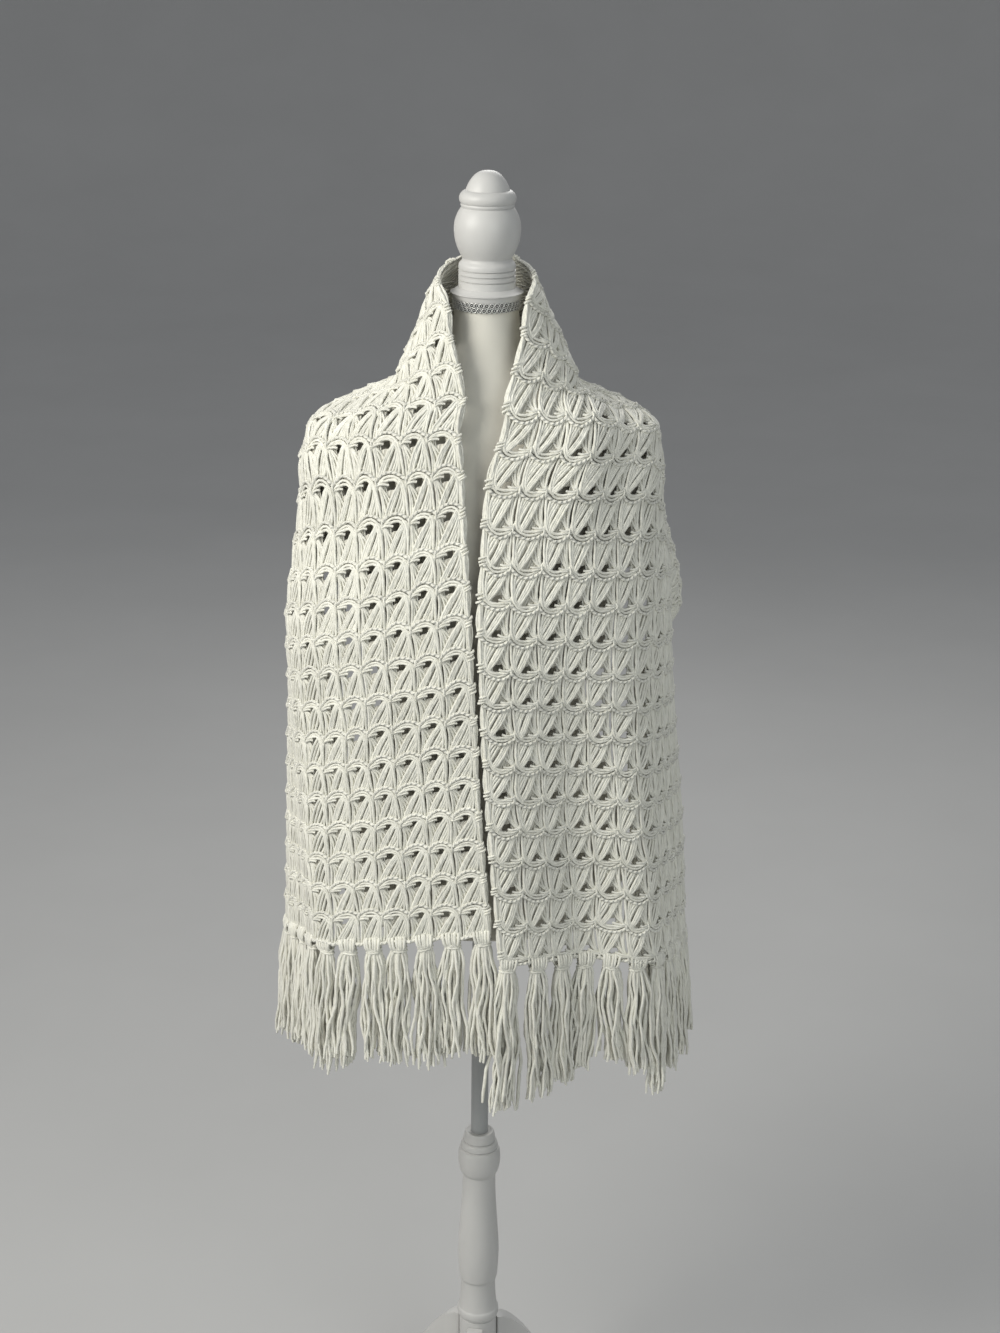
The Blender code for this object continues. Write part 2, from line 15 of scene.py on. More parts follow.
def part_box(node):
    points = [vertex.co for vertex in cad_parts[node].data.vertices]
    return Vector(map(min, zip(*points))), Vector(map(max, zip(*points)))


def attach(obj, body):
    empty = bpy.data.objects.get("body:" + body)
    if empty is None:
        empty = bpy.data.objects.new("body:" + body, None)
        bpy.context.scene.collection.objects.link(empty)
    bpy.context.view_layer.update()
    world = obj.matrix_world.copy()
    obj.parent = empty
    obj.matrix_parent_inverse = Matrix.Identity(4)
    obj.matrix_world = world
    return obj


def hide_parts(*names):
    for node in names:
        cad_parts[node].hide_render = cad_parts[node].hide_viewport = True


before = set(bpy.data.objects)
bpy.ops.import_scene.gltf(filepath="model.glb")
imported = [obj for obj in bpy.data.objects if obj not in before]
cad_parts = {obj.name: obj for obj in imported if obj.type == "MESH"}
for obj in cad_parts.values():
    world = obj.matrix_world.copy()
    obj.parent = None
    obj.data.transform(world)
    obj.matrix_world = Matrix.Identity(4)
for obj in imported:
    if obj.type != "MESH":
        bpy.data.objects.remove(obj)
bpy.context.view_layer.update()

# Viewpoint.
# The photograph was taken from just above the form's head, looking down about twenty degrees.
# The axis of the pole is the upright that everything is turned about.
POLE_LOW, POLE_HIGH = (np.array(end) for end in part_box("pole"))
AXIS = (POLE_LOW + POLE_HIGH)[:2] / 2
NECK_TOP = 1.55
CAMERA_BACK = 2.47
CAMERA_ABOVE_NECK = 0.467
CAMERA_PITCH = 20.2
CAMERA_ROLL = 0.51
LENS_LENGTH = 60.5
LENS_SHIFT = 0.0123


def placed(name, data):
    """A new object in the scene's collection."""
    made = bpy.data.objects.new(name, data)
    bpy.context.collection.objects.link(made)
    return made


camera_data = bpy.data.cameras.new("camera")
camera_data.lens = LENS_LENGTH
camera_data.sensor_width = 36.0
camera_data.shift_x = LENS_SHIFT
camera_data.clip_end = 60.0
camera = placed("camera", camera_data)
tilt = Euler((radians(90.0 - CAMERA_PITCH), 0.0, 0.0)).to_matrix()
roll = Matrix.Rotation(radians(CAMERA_ROLL), 3, "Z")
camera.matrix_world = Matrix.Translation(
    (AXIS[0], AXIS[1] - CAMERA_BACK, NECK_TOP + CAMERA_ABOVE_NECK)
) @ (tilt @ roll).to_4x4()
bpy.context.scene.camera = camera

# Painted wood of the stand.
# Turned and sawn wood under satin white paint: faint brush marks and grain show through, and
# painted shade greys the paint in the grooves.


def feed(socket, value):
    """Sets a node's input to a plain value, or links it to a socket or to a node's first output."""
    if isinstance(value, bpy.types.Node):
        value = value.outputs[0]
    if isinstance(value, bpy.types.NodeSocket):
        socket.id_data.links.new(value, socket)
    else:
        socket.default_value = value


def node(tree, kind, **values):
    """A new node with its settings and inputs. An underscore stands for a space in an input's name."""
    made = tree.nodes.new(kind)
    for name, value in values.items():
        if hasattr(made, name):
            setattr(made, name, value)
        else:
            feed(made.inputs[name.replace("_", " ")], value)
    return made


def maths(tree, operation, *values, kind="ShaderNodeMath"):
    """The result of a maths node on these values."""
    made = node(tree, kind, operation=operation)
    for socket, value in zip(made.inputs, values):
        feed(socket, value)
    return made.outputs[0]


def ranged(tree, value, low, high, start=0.0, end=1.0):
    """A value moved from the range of start to end into the range of low to high."""
    return node(
        tree, "ShaderNodeMapRange", Value=value, From_Min=start, From_Max=end, To_Min=low, To_Max=high
    ).outputs["Result"]


def mixed_colour(tree, blend, factor, first, second):
    """Two colours mixed by a factor."""
    return node(
        tree, "ShaderNodeMix", data_type="RGBA", blend_type=blend, Factor=factor, A=first, B=second
    ).outputs["Result"]


def new_tree(name, kind, inputs, outputs):
    """A node tree with named sockets of these kinds, and its two end nodes."""
    tree = bpy.data.node_groups.new(name, kind)
    for way, sockets in (("INPUT", inputs), ("OUTPUT", outputs)):
        for label, sort in sockets.items():
            tree.interface.new_socket(name=label, in_out=way, socket_type=f"NodeSocket{sort}")
    return tree, tree.nodes.new("NodeGroupInput"), tree.nodes.new("NodeGroupOutput")


def mottled_group():
    """Two tones mixed by soft noise, with the noise also put out as a height."""
    inputs = {"Light": "Color", "Dark": "Color", "Scale": "Float", "Stretch": "Vector", "Detail": "Float"}
    outputs = {"Color": "Color", "Height": "Float"}
    tree, start, result = new_tree("mottled", "ShaderNodeTree", inputs, outputs)
    given = start.outputs
    place = node(tree, "ShaderNodeTexCoord").outputs["Object"]
    stretched = maths(tree, "MULTIPLY", place, given["Stretch"], kind="ShaderNodeVectorMath")
    noise = node(
        tree, "ShaderNodeTexNoise", Roughness=0.6, Vector=stretched, Scale=given["Scale"],
        Detail=given["Detail"],
    ).outputs["Fac"]
    spread = ranged(tree, noise, 0.0, 1.0, 0.3, 0.7)
    feed(result.inputs["Color"], mixed_colour(tree, "MIX", spread, given["Dark"], given["Light"]))
    feed(result.inputs["Height"], noise)
    return tree


MOTTLED = mottled_group()


def mottled(tree, light, dark, scale, stretch=(1.0, 1.0, 1.0), detail=3.0):
    """The mottled group between these two tones."""
    return node(
        tree, "ShaderNodeGroup", node_tree=MOTTLED, Light=(*light, 1.0), Dark=(*dark, 1.0), Scale=scale,
        Stretch=stretch, Detail=detail,
    )


def speckled(tree, *spread):
    """Soft noise as a height."""
    return mottled(tree, (1.0, 1.0, 1.0), (0.0, 0.0, 0.0), *spread).outputs["Height"]


def new_material(name, roughness, tones=None, **sockets):
    """A material with these values on its shader's own sockets, mottled between tones if given."""
    made = bpy.data.materials.new(name)
    made.use_nodes = True
    shader = made.node_tree.nodes["Principled BSDF"]
    sockets["Roughness"] = roughness
    if tones is not None:
        sockets["Base Color"] = mottled(made.node_tree, *tones).outputs["Color"]
    for label, value in sockets.items():
        feed(shader.inputs[label.replace("_", " ")], value)
    return made, made.node_tree, shader


def bumped(shader, height, strength, distance, before=None):
    """Bumps a shader by a height, on top of another bump's normal if one is given."""
    bump = node(shader.id_data, "ShaderNodeBump", Strength=strength, Distance=distance, Height=height)
    if before is not None:
        feed(bump.inputs["Normal"], before)
    feed(shader.inputs["Normal"], bump)
    return bump


def paint_material():
    """Satin paint with upright brush marks, and painted shade darkening it in its grooves."""
    made, tree, shader = new_material("satin_white_paint", 0.45, Coat_Weight=0.05, Coat_Roughness=0.35)
    tone = mottled(tree, (0.62, 0.615, 0.60), (0.555, 0.55, 0.535), 16.0, (1.0, 1.0, 0.35)).outputs
    # Painted shade: the base colour darkens where the surface is hollow, in the grooves.
    painted_groove_shade = ranged(tree, node(tree, "ShaderNodeNewGeometry").outputs["Pointiness"], 0.86, 1.0, 0.44, 0.5)
    feed(shader.inputs["Base Color"], mixed_colour(tree, "MULTIPLY", 1.0, tone["Color"], painted_groove_shade))
    feed(shader.inputs["Roughness"], ranged(tree, tone["Height"], 0.40, 0.54))
    bumped(shader, speckled(tree, 260.0, (1.0, 1.0, 0.06), 2.0), 0.12, 0.0006)
    return made


WHITE_PAINT = paint_material()


def finished(name, mesh, material, slot, *replaced):
    """A piece of the part from its mesh, which rides on the one body. The slot is not used."""
    mesh.materials.clear()
    mesh.materials.append(material)
    made = placed(name, mesh)
    if replaced:
        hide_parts(*replaced)
    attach(made, "root")
    return made


def mesh_from(name, builder, sharp=None):
    """A mesh from a bmesh, with its faces turned outwards and shaded smooth up to an angle."""
    bmesh.ops.remove_doubles(builder, verts=builder.verts, dist=1e-6)
    bmesh.ops.recalc_face_normals(builder, faces=builder.faces)
    mesh = bpy.data.meshes.new(name)
    builder.to_mesh(mesh)
    builder.free()
    mesh.shade_smooth()
    if sharp is not None:
        mesh.set_sharp_from_angle(angle=radians(sharp))
    return mesh


def corner(*point):
    """A point of a profile given twice, which stays sharp where the others are rounded."""
    return point, point


def catmull_rom(a, b, c, d, t):
    """Points between b and c on a smooth curve through all four."""
    return 0.5 * (
        2 * b + (c - a) * t + (2 * a - 5 * b + 4 * c - d) * t**2 + (3 * b - a - 3 * c + d) * t**3
    )


def rounded_run(points, steps=5):
    """A smooth line through the points of a profile. A repeated point stays a corner."""
    dense = []
    points = np.array(points, float)
    for i in range(len(points) - 1):
        b, c = points[i], points[i + 1]
        if np.allclose(b, c):
            continue
        a = points[i - 1] if i > 0 else b
        d = points[i + 2] if i + 2 < len(points) else c
        dense += [catmull_rom(a, b, c, d, t) for t in np.arange(steps) / steps]
    dense.append(points[-1])
    return dense


def ringed(builder, runs):
    """Closed rings of vertices at these points, each joined to the next by four-sided faces."""
    rings = [[builder.verts.new(point) for point in run] for run in runs]
    for high, low in zip(rings, rings[1:]):
        for i in range(len(high)):
            after = (i + 1) % len(high)
            builder.faces.new((low[i], low[after], high[after], high[i]))
    return rings


def lathe(name, profile, sides=72, steps=3):
    """A turned solid from radius and drop down its side, closed at both ends."""
    builder = bmesh.new()
    turns = np.arange(sides) * 2 * pi / sides
    runs = [
        [(AXIS[0] + radius * cos(t), AXIS[1] + radius * sin(t), NECK_TOP - drop) for t in turns]
        for radius, drop in rounded_run(profile, steps)
    ]
    rings = ringed(builder, runs)
    for ring, end in ((rings[0], profile[0]), (rings[-1], profile[-1])):
        middle = builder.verts.new((AXIS[0], AXIS[1], NECK_TOP - end[1]))
        for i in range(sides):
            builder.faces.new((ring[i], ring[(i + 1) % sides], middle))
    return mesh_from(name, builder, 38)


# Legs.
# Three boards sawn to a curve, twenty millimetres thick with softened edges, stand round the hub a
# third of a turn apart. One points almost at the viewer, and each has a flat sole at its toe.
LEG_UPPER = ((0.0243, 0.196), (0.040, 0.192), (0.064, 0.168), (0.092, 0.128), (0.126, 0.084),
             (0.166, 0.052), (0.206, 0.036), (0.232, 0.028), (0.245, 0.014))
LEG_LOWER = ((0.241, 0.0), (0.206, 0.0), (0.186, 0.010), (0.150, 0.018), (0.112, 0.031),
             (0.078, 0.054), (0.046, 0.086), (0.0243, 0.100))
LEG_THICKNESS = 0.020
LEG_EDGE = 0.0022
LEG_FOOT_CLEAR = 0.001


def leg_mesh(name, turn_degrees):
    """One leg: its outline smoothed, filled, thickened to both sides and bevelled."""
    outline = rounded_run(LEG_UPPER, 4) + [np.array(LEG_LOWER[0])] + rounded_run(LEG_LOWER[1:], 4)
    turn = radians(turn_degrees)
    out = Vector((sin(turn), -cos(turn), 0.0))
    side = Vector((cos(turn), sin(turn), 0.0))
    centre = Vector((AXIS[0], AXIS[1], 0.0))
    builder = bmesh.new()
    rings = []
    for half in (-LEG_THICKNESS / 2, LEG_THICKNESS / 2):
        ring = [
            builder.verts.new(centre + out * reach + side * half + Vector((0.0, 0.0, height)))
            for reach, height in outline
        ]
        rings.append(ring)
        builder.faces.new(ring)
    for i in range(len(outline)):
        after = (i + 1) % len(outline)
        builder.faces.new((rings[0][i], rings[0][after], rings[1][after], rings[1][i]))
    rims = [
        edge
        for edge in builder.edges
        if abs((edge.verts[0].co - edge.verts[1].co).dot(side)) < 1e-6
        and min(v.co.z for v in edge.verts) > LEG_FOOT_CLEAR
    ]
    bmesh.ops.bevel(builder, geom=rims, offset=LEG_EDGE, segments=3, affect="EDGES", profile=0.6)
    return mesh_from(name, builder, 45)


for place_name, turn_degrees in (("front", -8.0), ("right", 112.0), ("left", 232.0)):
    leg_name = f"leg_{place_name}"
    board = leg_mesh(leg_name, turn_degrees)
    finished(f"{leg_name}_board", board, WHITE_PAINT, "white_paint", leg_name)

# Hub and column.
# The legs are screwed to a plain turned hub. The column above it swells to a long bulge, with a
# half-round ring low down and a ball at its top that has two cut grooves and a hollow for the pole.
HUB_PROFILE = (
    *corner(0.0215, 1.3455), *corner(0.024, 1.3475), *corner(0.024, 1.459), *corner(0.0205, 1.462),
)
COLUMN_PROFILE = (
    *corner(0.014, 1.07), (0.0166, 1.069), (0.0182, 1.0706), (0.0194, 1.075), *corner(0.0204, 1.0808),
    (0.0192, 1.0826), *corner(0.0212, 1.0836), (0.0228, 1.0862), *corner(0.0237, 1.0904),
    (0.0225, 1.0922), *corner(0.0246, 1.0932), (0.0262, 1.098), (0.0268, 1.105), (0.0265, 1.114),
    (0.025, 1.1225), (0.023, 1.128), *corner(0.0212, 1.1306), (0.0209, 1.1345), (0.0209, 1.142),
    (0.0216, 1.165), (0.0238, 1.2), (0.0257, 1.229), (0.0263, 1.247), (0.0258, 1.265), (0.0247, 1.281),
    *corner(0.024, 1.2865), (0.0226, 1.289), (0.0222, 1.294), (0.0224, 1.308), (0.0238, 1.324),
    *corner(0.025, 1.3315), (0.0264, 1.3335), (0.027, 1.3375), (0.0264, 1.342), *corner(0.025, 1.344),
    *corner(0.025, 1.3452),
)
finished("hub_turning", lathe("hub", HUB_PROFILE), WHITE_PAINT, "white_paint", "hub")
finished("column_turning", lathe("column", COLUMN_PROFILE), WHITE_PAINT, "white_paint", "column")

# Pole.
# A steel tube in satin grey paint carries the form above the column. It slides into both, with no
# clamp in sight.
POLE_PROFILE = (*corner(0.0108, 0.7603), *corner(0.0108, 1.0697))
POLE_TONES = ((0.42, 0.43, 0.43), (0.36, 0.37, 0.37), 30.0, (1.0, 1.0, 0.2))
pole_paint, pole_tree, pole_shader = new_material("satin_grey_paint", 0.34, POLE_TONES, Metallic=0.15)
bumped(pole_shader, speckled(pole_tree, 900.0), 0.08, 0.0003)
finished("pole_tube", lathe("pole", POLE_PROFILE, 48, 1), pole_paint, "grey_paint", "pole")

# Dress form.
# A padded torso without limbs, covered in cream linen that is pulled smooth over it and closed
# with a flat underside. Only its neck, throat and breast show between the two sides of the shawl.
FORM_SECTIONS = (
    (0.0092, 0.0360, 0.0360, 0.0360), (0.0225, 0.0360, 0.0360, 0.0360),
    (0.0450, 0.0390, 0.0390, 0.0400), (0.0750, 0.0520, 0.0450, 0.0500),
    (0.1000, 0.0800, 0.0550, 0.0600), (0.1200, 0.1200, 0.0640, 0.0722),
    (0.1420, 0.1530, 0.0730, 0.0822), (0.1650, 0.1740, 0.0820, 0.0900),
    (0.2000, 0.1860, 0.0940, 0.1000), (0.2500, 0.1780, 0.1090, 0.1040),
    (0.3150, 0.1630, 0.1220, 0.0980), (0.3900, 0.1460, 0.1100, 0.0880),
    (0.4700, 0.1180, 0.0860, 0.0820), (0.5400, 0.1440, 0.0960, 0.1000),
    (0.6200, 0.1710, 0.1060, 0.1160), (0.7000, 0.1730, 0.1040, 0.1120),
    (0.7480, 0.1580, 0.0940, 0.1000), (0.7600, 0.1400, 0.0820, 0.0880),
)
FORM_SIDES = 96
LINEN_TONES = ((0.735, 0.715, 0.645), (0.685, 0.665, 0.59), 9.0)
LINEN_THREADS = 330.0


def form_mesh():
    """Oval sections joined by a smooth skin, with a flat top under the cap and a flat underside."""
    builder = bmesh.new()
    turns = np.arange(FORM_SIDES) * 2 * pi / FORM_SIDES
    runs = []
    for drop, wide, front, back in rounded_run(FORM_SECTIONS, 6):
        depth = np.where(np.sin(turns) < 0, front, back)
        runs.append(
            [(AXIS[0] + wide * cos(t), AXIS[1] + d * sin(t), NECK_TOP - drop) for t, d in zip(turns, depth)]
        )
    rings = ringed(builder, runs)
    builder.faces.new(rings[0])
    builder.faces.new(rings[-1])
    return mesh_from("form_body", builder, 50)


linen, linen_tree, linen_shader = new_material(
    "cream_linen", 0.92, LINEN_TONES, Sheen_Weight=0.25, Sheen_Roughness=0.5
)
linen_place = node(linen_tree, "ShaderNodeTexCoord").outputs["Object"]
warp, weft = (
    node(
        linen_tree, "ShaderNodeTexWave", bands_direction=way, Scale=LINEN_THREADS, Distortion=1.2,
        Vector=linen_place,
    ).outputs["Fac"]
    for way in "ZX"
)
bumped(linen_shader, maths(linen_tree, "MAXIMUM", warp, weft), 0.25, 0.0005)
finished("form_torso", form_mesh(), linen, "form_fabric", "form_body")

# Neck cap and finial.
# A thin turned disc closes the neck and rises to the finial's foot. The finial is one turning: a
# stem with three scored lines, a round ball, a collar of two rings and a small dome, painted white.
SCORE_DEPTH = 0.0016
SCORE_WIDTH = 0.0020


def scored(radius, drop):
    """The points of a narrow groove cut round a stem, from its upper edge down."""
    floor = [(radius - SCORE_DEPTH, drop + share * SCORE_WIDTH) for share in (0.3, 0.6)]
    return (*corner(radius, drop), *floor, *corner(radius, drop + SCORE_WIDTH))


CAP_PROFILE = (
    *corner(0.0312, -0.006), (0.0335, -0.0052), (0.037, -0.003), (0.04, -0.0016),
    *corner(0.0408, -0.0012), *corner(0.0408, -0.0003), *corner(0.0392, 0.0004), (0.038, 0.0056),
    *corner(0.0372, 0.0062), *corner(0.0366, 0.0088),
)
FINIAL_PROFILE = (
    (0.0006, -0.133), (0.008, -0.1318), (0.0145, -0.128), (0.0195, -0.122), (0.0228, -0.116),
    *corner(0.0243, -0.1118), (0.0272, -0.1106), (0.03, -0.1078), (0.0314, -0.104), (0.031, -0.1),
    *corner(0.0294, -0.0976), (0.0298, -0.0956), *corner(0.0288, -0.0934), (0.031, -0.0905),
    (0.0338, -0.0852), (0.0361, -0.0785), (0.037, -0.07), (0.036, -0.059), (0.033, -0.049),
    (0.0292, -0.0412), *corner(0.0276, -0.0384), (0.028, -0.0358), *corner(0.0296, -0.0338),
    (0.0312, -0.0318), (0.0317, -0.0295), *scored(0.0317, -0.0266), *scored(0.0317, -0.0208),
    *scored(0.0317, -0.0148), *corner(0.0318, -0.0062), *corner(0.0312, -0.0004),
)
finished("neck_disc", lathe("neck_cap", CAP_PROFILE), WHITE_PAINT, "white_paint", "neck_cap")
finished("finial_turning", lathe("finial", FINIAL_PROFILE), WHITE_PAINT, "white_paint", "finial")

# Neck trim.
# Silver braid is glued round the neck under the disc: two rows of looped metal thread with a
# bead in each loop, joined by a thin band that is coloured near black as painted shade between the
# loops. Geometry Nodes set the loops round the neck.
TRIM_RADIUS = 0.0379
TRIM_HEIGHT = 1.5386
TRIM_LOOPS = 42
LOOP_RADIUS = 0.0025
LOOP_THREAD = 0.00058
BEAD_RADIUS = 0.0008
BAND_PROFILE = (
    *corner(0.0364, 0.006), *corner(0.037, 0.0063), *corner(0.037, 0.0166), *corner(0.0364, 0.0169),
)
TRIM_ROWS = ((-0.0027, 0.0), (0.0027, 0.5))


def geometry_tree(name, grow, **inputs):
    """A Geometry Nodes tree that makes what it grows real, shades it smooth and dresses it."""
    named = {label.replace("_", " "): kind for label, kind in inputs.items()}
    sockets = {"Geometry": "Geometry", **named, "Material": "Material"}
    tree, given, result = new_tree(name, "GeometryNodeTree", sockets, {"Geometry": "Geometry"})
    real = node(tree, "GeometryNodeRealizeInstances", Geometry=grow(tree, given.outputs))
    smooth = node(tree, "GeometryNodeSetShadeSmooth", Geometry=real)
    feed(
        result.inputs["Geometry"],
        node(tree, "GeometryNodeSetMaterial", Geometry=smooth, Material=given.outputs["Material"]),
    )
    return tree


def plain_mesh(holder):
    """The mesh that an object's modifiers make. The object is taken away."""
    graph = bpy.context.evaluated_depsgraph_get()
    made = bpy.data.meshes.new_from_object(holder.evaluated_get(graph), depsgraph=graph)
    bpy.data.objects.remove(holder)
    return made


def grown(name, source, tree, material, **values):
    """Runs a Geometry Nodes tree on a mesh and returns the plain mesh that it makes."""
    holder = placed(f"{name}_source", source)
    modifier = holder.modifiers.new("grow", "NODES")
    modifier.node_group = tree
    values["Material"] = material
    for item in tree.interface.items_tree:
        label = item.name.replace(" ", "_")
        if label in values:
            modifier[item.identifier] = values[label]
    made = plain_mesh(holder)
    made.name = name
    return made


def mark_points(mesh, label, values, kind="FLOAT", field="value"):
    """Keeps values on the points of a mesh under a name."""
    mesh.attributes.new(label, kind, "POINT").data.foreach_set(field, np.asarray(values).reshape(-1))


def braid_loops(tree, given):
    """A metal loop with a bead in it on every point, turned to face the point's own way."""
    ring = node(tree, "GeometryNodeCurvePrimitiveCircle", Resolution=10, Radius=given["Loop Radius"])
    thread = node(tree, "GeometryNodeCurvePrimitiveCircle", Resolution=5, Radius=given["Thread"])
    tube = node(tree, "GeometryNodeCurveToMesh", Curve=ring, Profile_Curve=thread)
    bead = node(tree, "GeometryNodeMeshIcoSphere", Subdivisions=2, Radius=given["Bead Radius"])
    both = node(tree, "GeometryNodeJoinGeometry", Geometry=tube)
    feed(both.inputs["Geometry"], bead)
    way = node(tree, "GeometryNodeInputNamedAttribute", data_type="FLOAT_VECTOR", Name="way")
    facing = node(tree, "FunctionNodeAlignRotationToVector", axis="Z", Vector=way)
    return node(
        tree, "GeometryNodeInstanceOnPoints", Points=given["Geometry"], Instance=both, Rotation=facing
    )


SILVER_TONES = ((0.78, 0.78, 0.76), (0.56, 0.56, 0.54), 700.0)
# The band's near-black tones are painted shade, the shadow between the loops.
SHADED_BAND_TONES = ((0.13, 0.13, 0.125), (0.06, 0.06, 0.06), 600.0)
silver = new_material("silver_thread", 0.3, SILVER_TONES, Metallic=0.45)[0]
shaded_band = new_material("braid_backing", 0.7, SHADED_BAND_TONES, Metallic=0.3)[0]
spots, ways = [], []
for level, half_step in TRIM_ROWS:
    for turn in (np.arange(TRIM_LOOPS) + half_step) * 2 * pi / TRIM_LOOPS:
        way = np.array((cos(turn), sin(turn), 0.0))
        ways.append(way)
        spots.append(np.array((*AXIS, TRIM_HEIGHT + level)) + TRIM_RADIUS * way)
braid_places = bpy.data.meshes.new("braid_places")
braid_places.from_pydata(spots, [], [])
mark_points(braid_places, "way", ways, "FLOAT_VECTOR", "vector")
BRAID_LOOPS = geometry_tree(
    "braid_loops", braid_loops, Loop_Radius="Float", Thread="Float", Bead_Radius="Float"
)
trim_mesh = grown(
    "neck_trim_braid", braid_places, BRAID_LOOPS, silver, Loop_Radius=LOOP_RADIUS, Thread=LOOP_THREAD,
    Bead_Radius=BEAD_RADIUS,
)
finished("neck_trim_braid", trim_mesh, silver, "silver_braid", "neck_trim")
finished("neck_trim_band", lathe("neck_trim_band", BAND_PROFILE, 72, 1), shaded_band, "silver_braid")

# Drape of the shawl.
# One long strip of lace, 15 stitch groups wide and 45 rows long, lies round the neck and hangs down
# both fronts. "row" counts from the left hem round to the right hem, and "across" runs from the
# edge at the neck, 0, to the edge over the back, 1.
ROWS = 45
GROUPS = 15
GROUP_CROWDING = 0.13
SCALLOP = 0.004
SQUARENESS = 0.85
LATE_FALL = 9
LINE_STEPS = 80
LINE_CROWDING = 1.6
ROW_PARTS = 10
ACROSS_PARTS = 200
EDGE_PARTS = 6
TURN_STEP = 2.5
DROP_STEP = 0.004


def table(columns, *rows):
    """Rows of numbers under named columns."""
    values = np.array(rows, float)
    return {name: values[:, i] for i, name in enumerate(columns.split())}


# Level sections of the oval that the cloth follows.
CAPE = table(
    "drop left right front back",
    (-0.050, 0.043, 0.043, 0.040, 0.058), (-0.033, 0.046, 0.046, 0.044, 0.061),
    (0.000, 0.062, 0.060, 0.052, 0.066), (0.040, 0.077, 0.077, 0.061, 0.072),
    (0.080, 0.094, 0.095, 0.073, 0.083), (0.108, 0.112, 0.112, 0.085, 0.094),
    (0.122, 0.148, 0.148, 0.092, 0.101), (0.140, 0.187, 0.184, 0.098, 0.108),
    (0.170, 0.203, 0.196, 0.107, 0.118), (0.240, 0.210, 0.201, 0.126, 0.130),
    (0.305, 0.219, 0.210, 0.143, 0.136), (0.360, 0.228, 0.214, 0.149, 0.139),
    (0.485, 0.227, 0.221, 0.149, 0.137), (0.680, 0.231, 0.240, 0.152, 0.142),
    (0.820, 0.238, 0.250, 0.160, 0.150),
)
# Where each row starts and ends on it, in degrees from the front by the left, and how it falls.
EDGES = table(
    "row around_in drop_in around_out drop_out early swing",
    (0, -2.4, 0.714, 122, 0.795, 0.95, 1.0), (4, 0.8, 0.559, 127, 0.675, 0.93, 1.0),
    (8, 3.0, 0.405, 127, 0.560, 0.75, 1.0), (12, 5.8, 0.251, 121, 0.440, 0.55, 1.0),
    (15, 9.5, 0.135, 114, 0.385, 0.18, 1.0), (16.5, 17.0, 0.082, 124, 0.355, 0.24, 0.85),
    (18, 31.0, 0.036, 142, 0.335, 0.48, 0.65), (19.2, 46.0, 0.000, 155, 0.328, 0.80, 0.5),
    (21, 132.0, -0.028, 170, 0.347, 0.97, 0.6), (22.5, 180.0, -0.033, 180, 0.362, 1.00, 0.7),
    (24, 228.0, -0.028, 190, 0.347, 0.97, 0.6), (25.8, 312.0, 0.000, 205, 0.328, 0.80, 0.5),
    (27, 330.0, 0.040, 218, 0.335, 0.50, 0.65), (28.5, 347.0, 0.098, 237, 0.360, 0.22, 0.85),
    (30, 356.5, 0.157, 250, 0.392, 0.15, 1.0), (33, 361.0, 0.277, 244, 0.440, 0.28, 1.0),
    (37, 360.5, 0.432, 233, 0.535, 0.55, 1.0), (41, 358.0, 0.585, 231, 0.665, 0.80, 1.0),
    (45, 355.0, 0.745, 231, 0.808, 0.95, 1.0),
)
# Soft folds of different lengths: their rise is less than zero in a valley.
FOLDS = table(
    "row across long wide rise lean",
    (0.0, 0.16, 9.0, 0.10, -0.006, 0.004), (0.0, 0.46, 8.0, 0.08, 0.011, 0.006),
    (2.0, 0.62, 8.0, 0.07, -0.008, 0.004), (14.0, 0.33, 3.0, 0.05, -0.007, 0.000),
    (8.0, 0.80, 7.0, 0.07, 0.008, 0.004), (15.0, 0.97, 3.0, 0.13, 0.012, 0.000),
    (19.5, 0.86, 1.3, 0.30, 0.014, 0.000), (21.3, 0.92, 0.9, 0.25, -0.008, 0.000),
    (22.8, 0.90, 1.0, 0.34, 0.010, 0.000), (25.2, 0.88, 1.2, 0.28, 0.014, 0.000),
    (29.8, 0.22, 3.2, 0.07, 0.006, 0.010), (29.5, 0.34, 3.0, 0.06, -0.006, 0.010),
    (29.4, 1.00, 1.5, 0.21, 0.040, 0.000), (38.0, 0.80, 6.0, 0.07, 0.007, -0.004),
    (45.0, 0.02, 9.0, 0.07, 0.007, 0.000), (45.0, 0.25, 9.0, 0.10, -0.019, 0.000),
    (45.0, 0.42, 8.0, 0.07, 0.010, -0.003), (44.0, 0.60, 7.0, 0.08, -0.006, 0.000),
)


def eased(at, places, values):
    """A smooth curve through a table's values."""
    at = np.asarray(at, float)
    slopes = np.gradient(values, places)
    i = np.clip(np.searchsorted(places, at) - 1, 0, len(places) - 2)
    step = places[i + 1] - places[i]
    t = np.clip((at - places[i]) / step, 0.0, 1.0)
    back = 1.0 - t
    start = (1 + 2 * t) * back**2 * values[i] + t * back**2 * step * slopes[i]
    end = t**2 * (3 - 2 * t) * values[i + 1] - t**2 * back * step * slopes[i + 1]
    return start + end


def cape(around, drop):
    """Points of the draped oval at these angles and drops."""
    turn = np.radians(around)
    left, right, front, back = (
        eased(drop, CAPE["drop"], CAPE[side]) for side in ("left", "right", "front", "back")
    )
    wide = np.where(np.sin(turn) > 0, left, right)
    deep = np.where(np.cos(turn) > 0, front, back)
    x = AXIS[0] - wide * np.sin(turn)
    y = AXIS[1] - deep * np.sign(np.cos(turn)) * np.abs(np.cos(turn)) ** SQUARENESS
    return np.stack([x, y, NECK_TOP - drop], axis=-1)


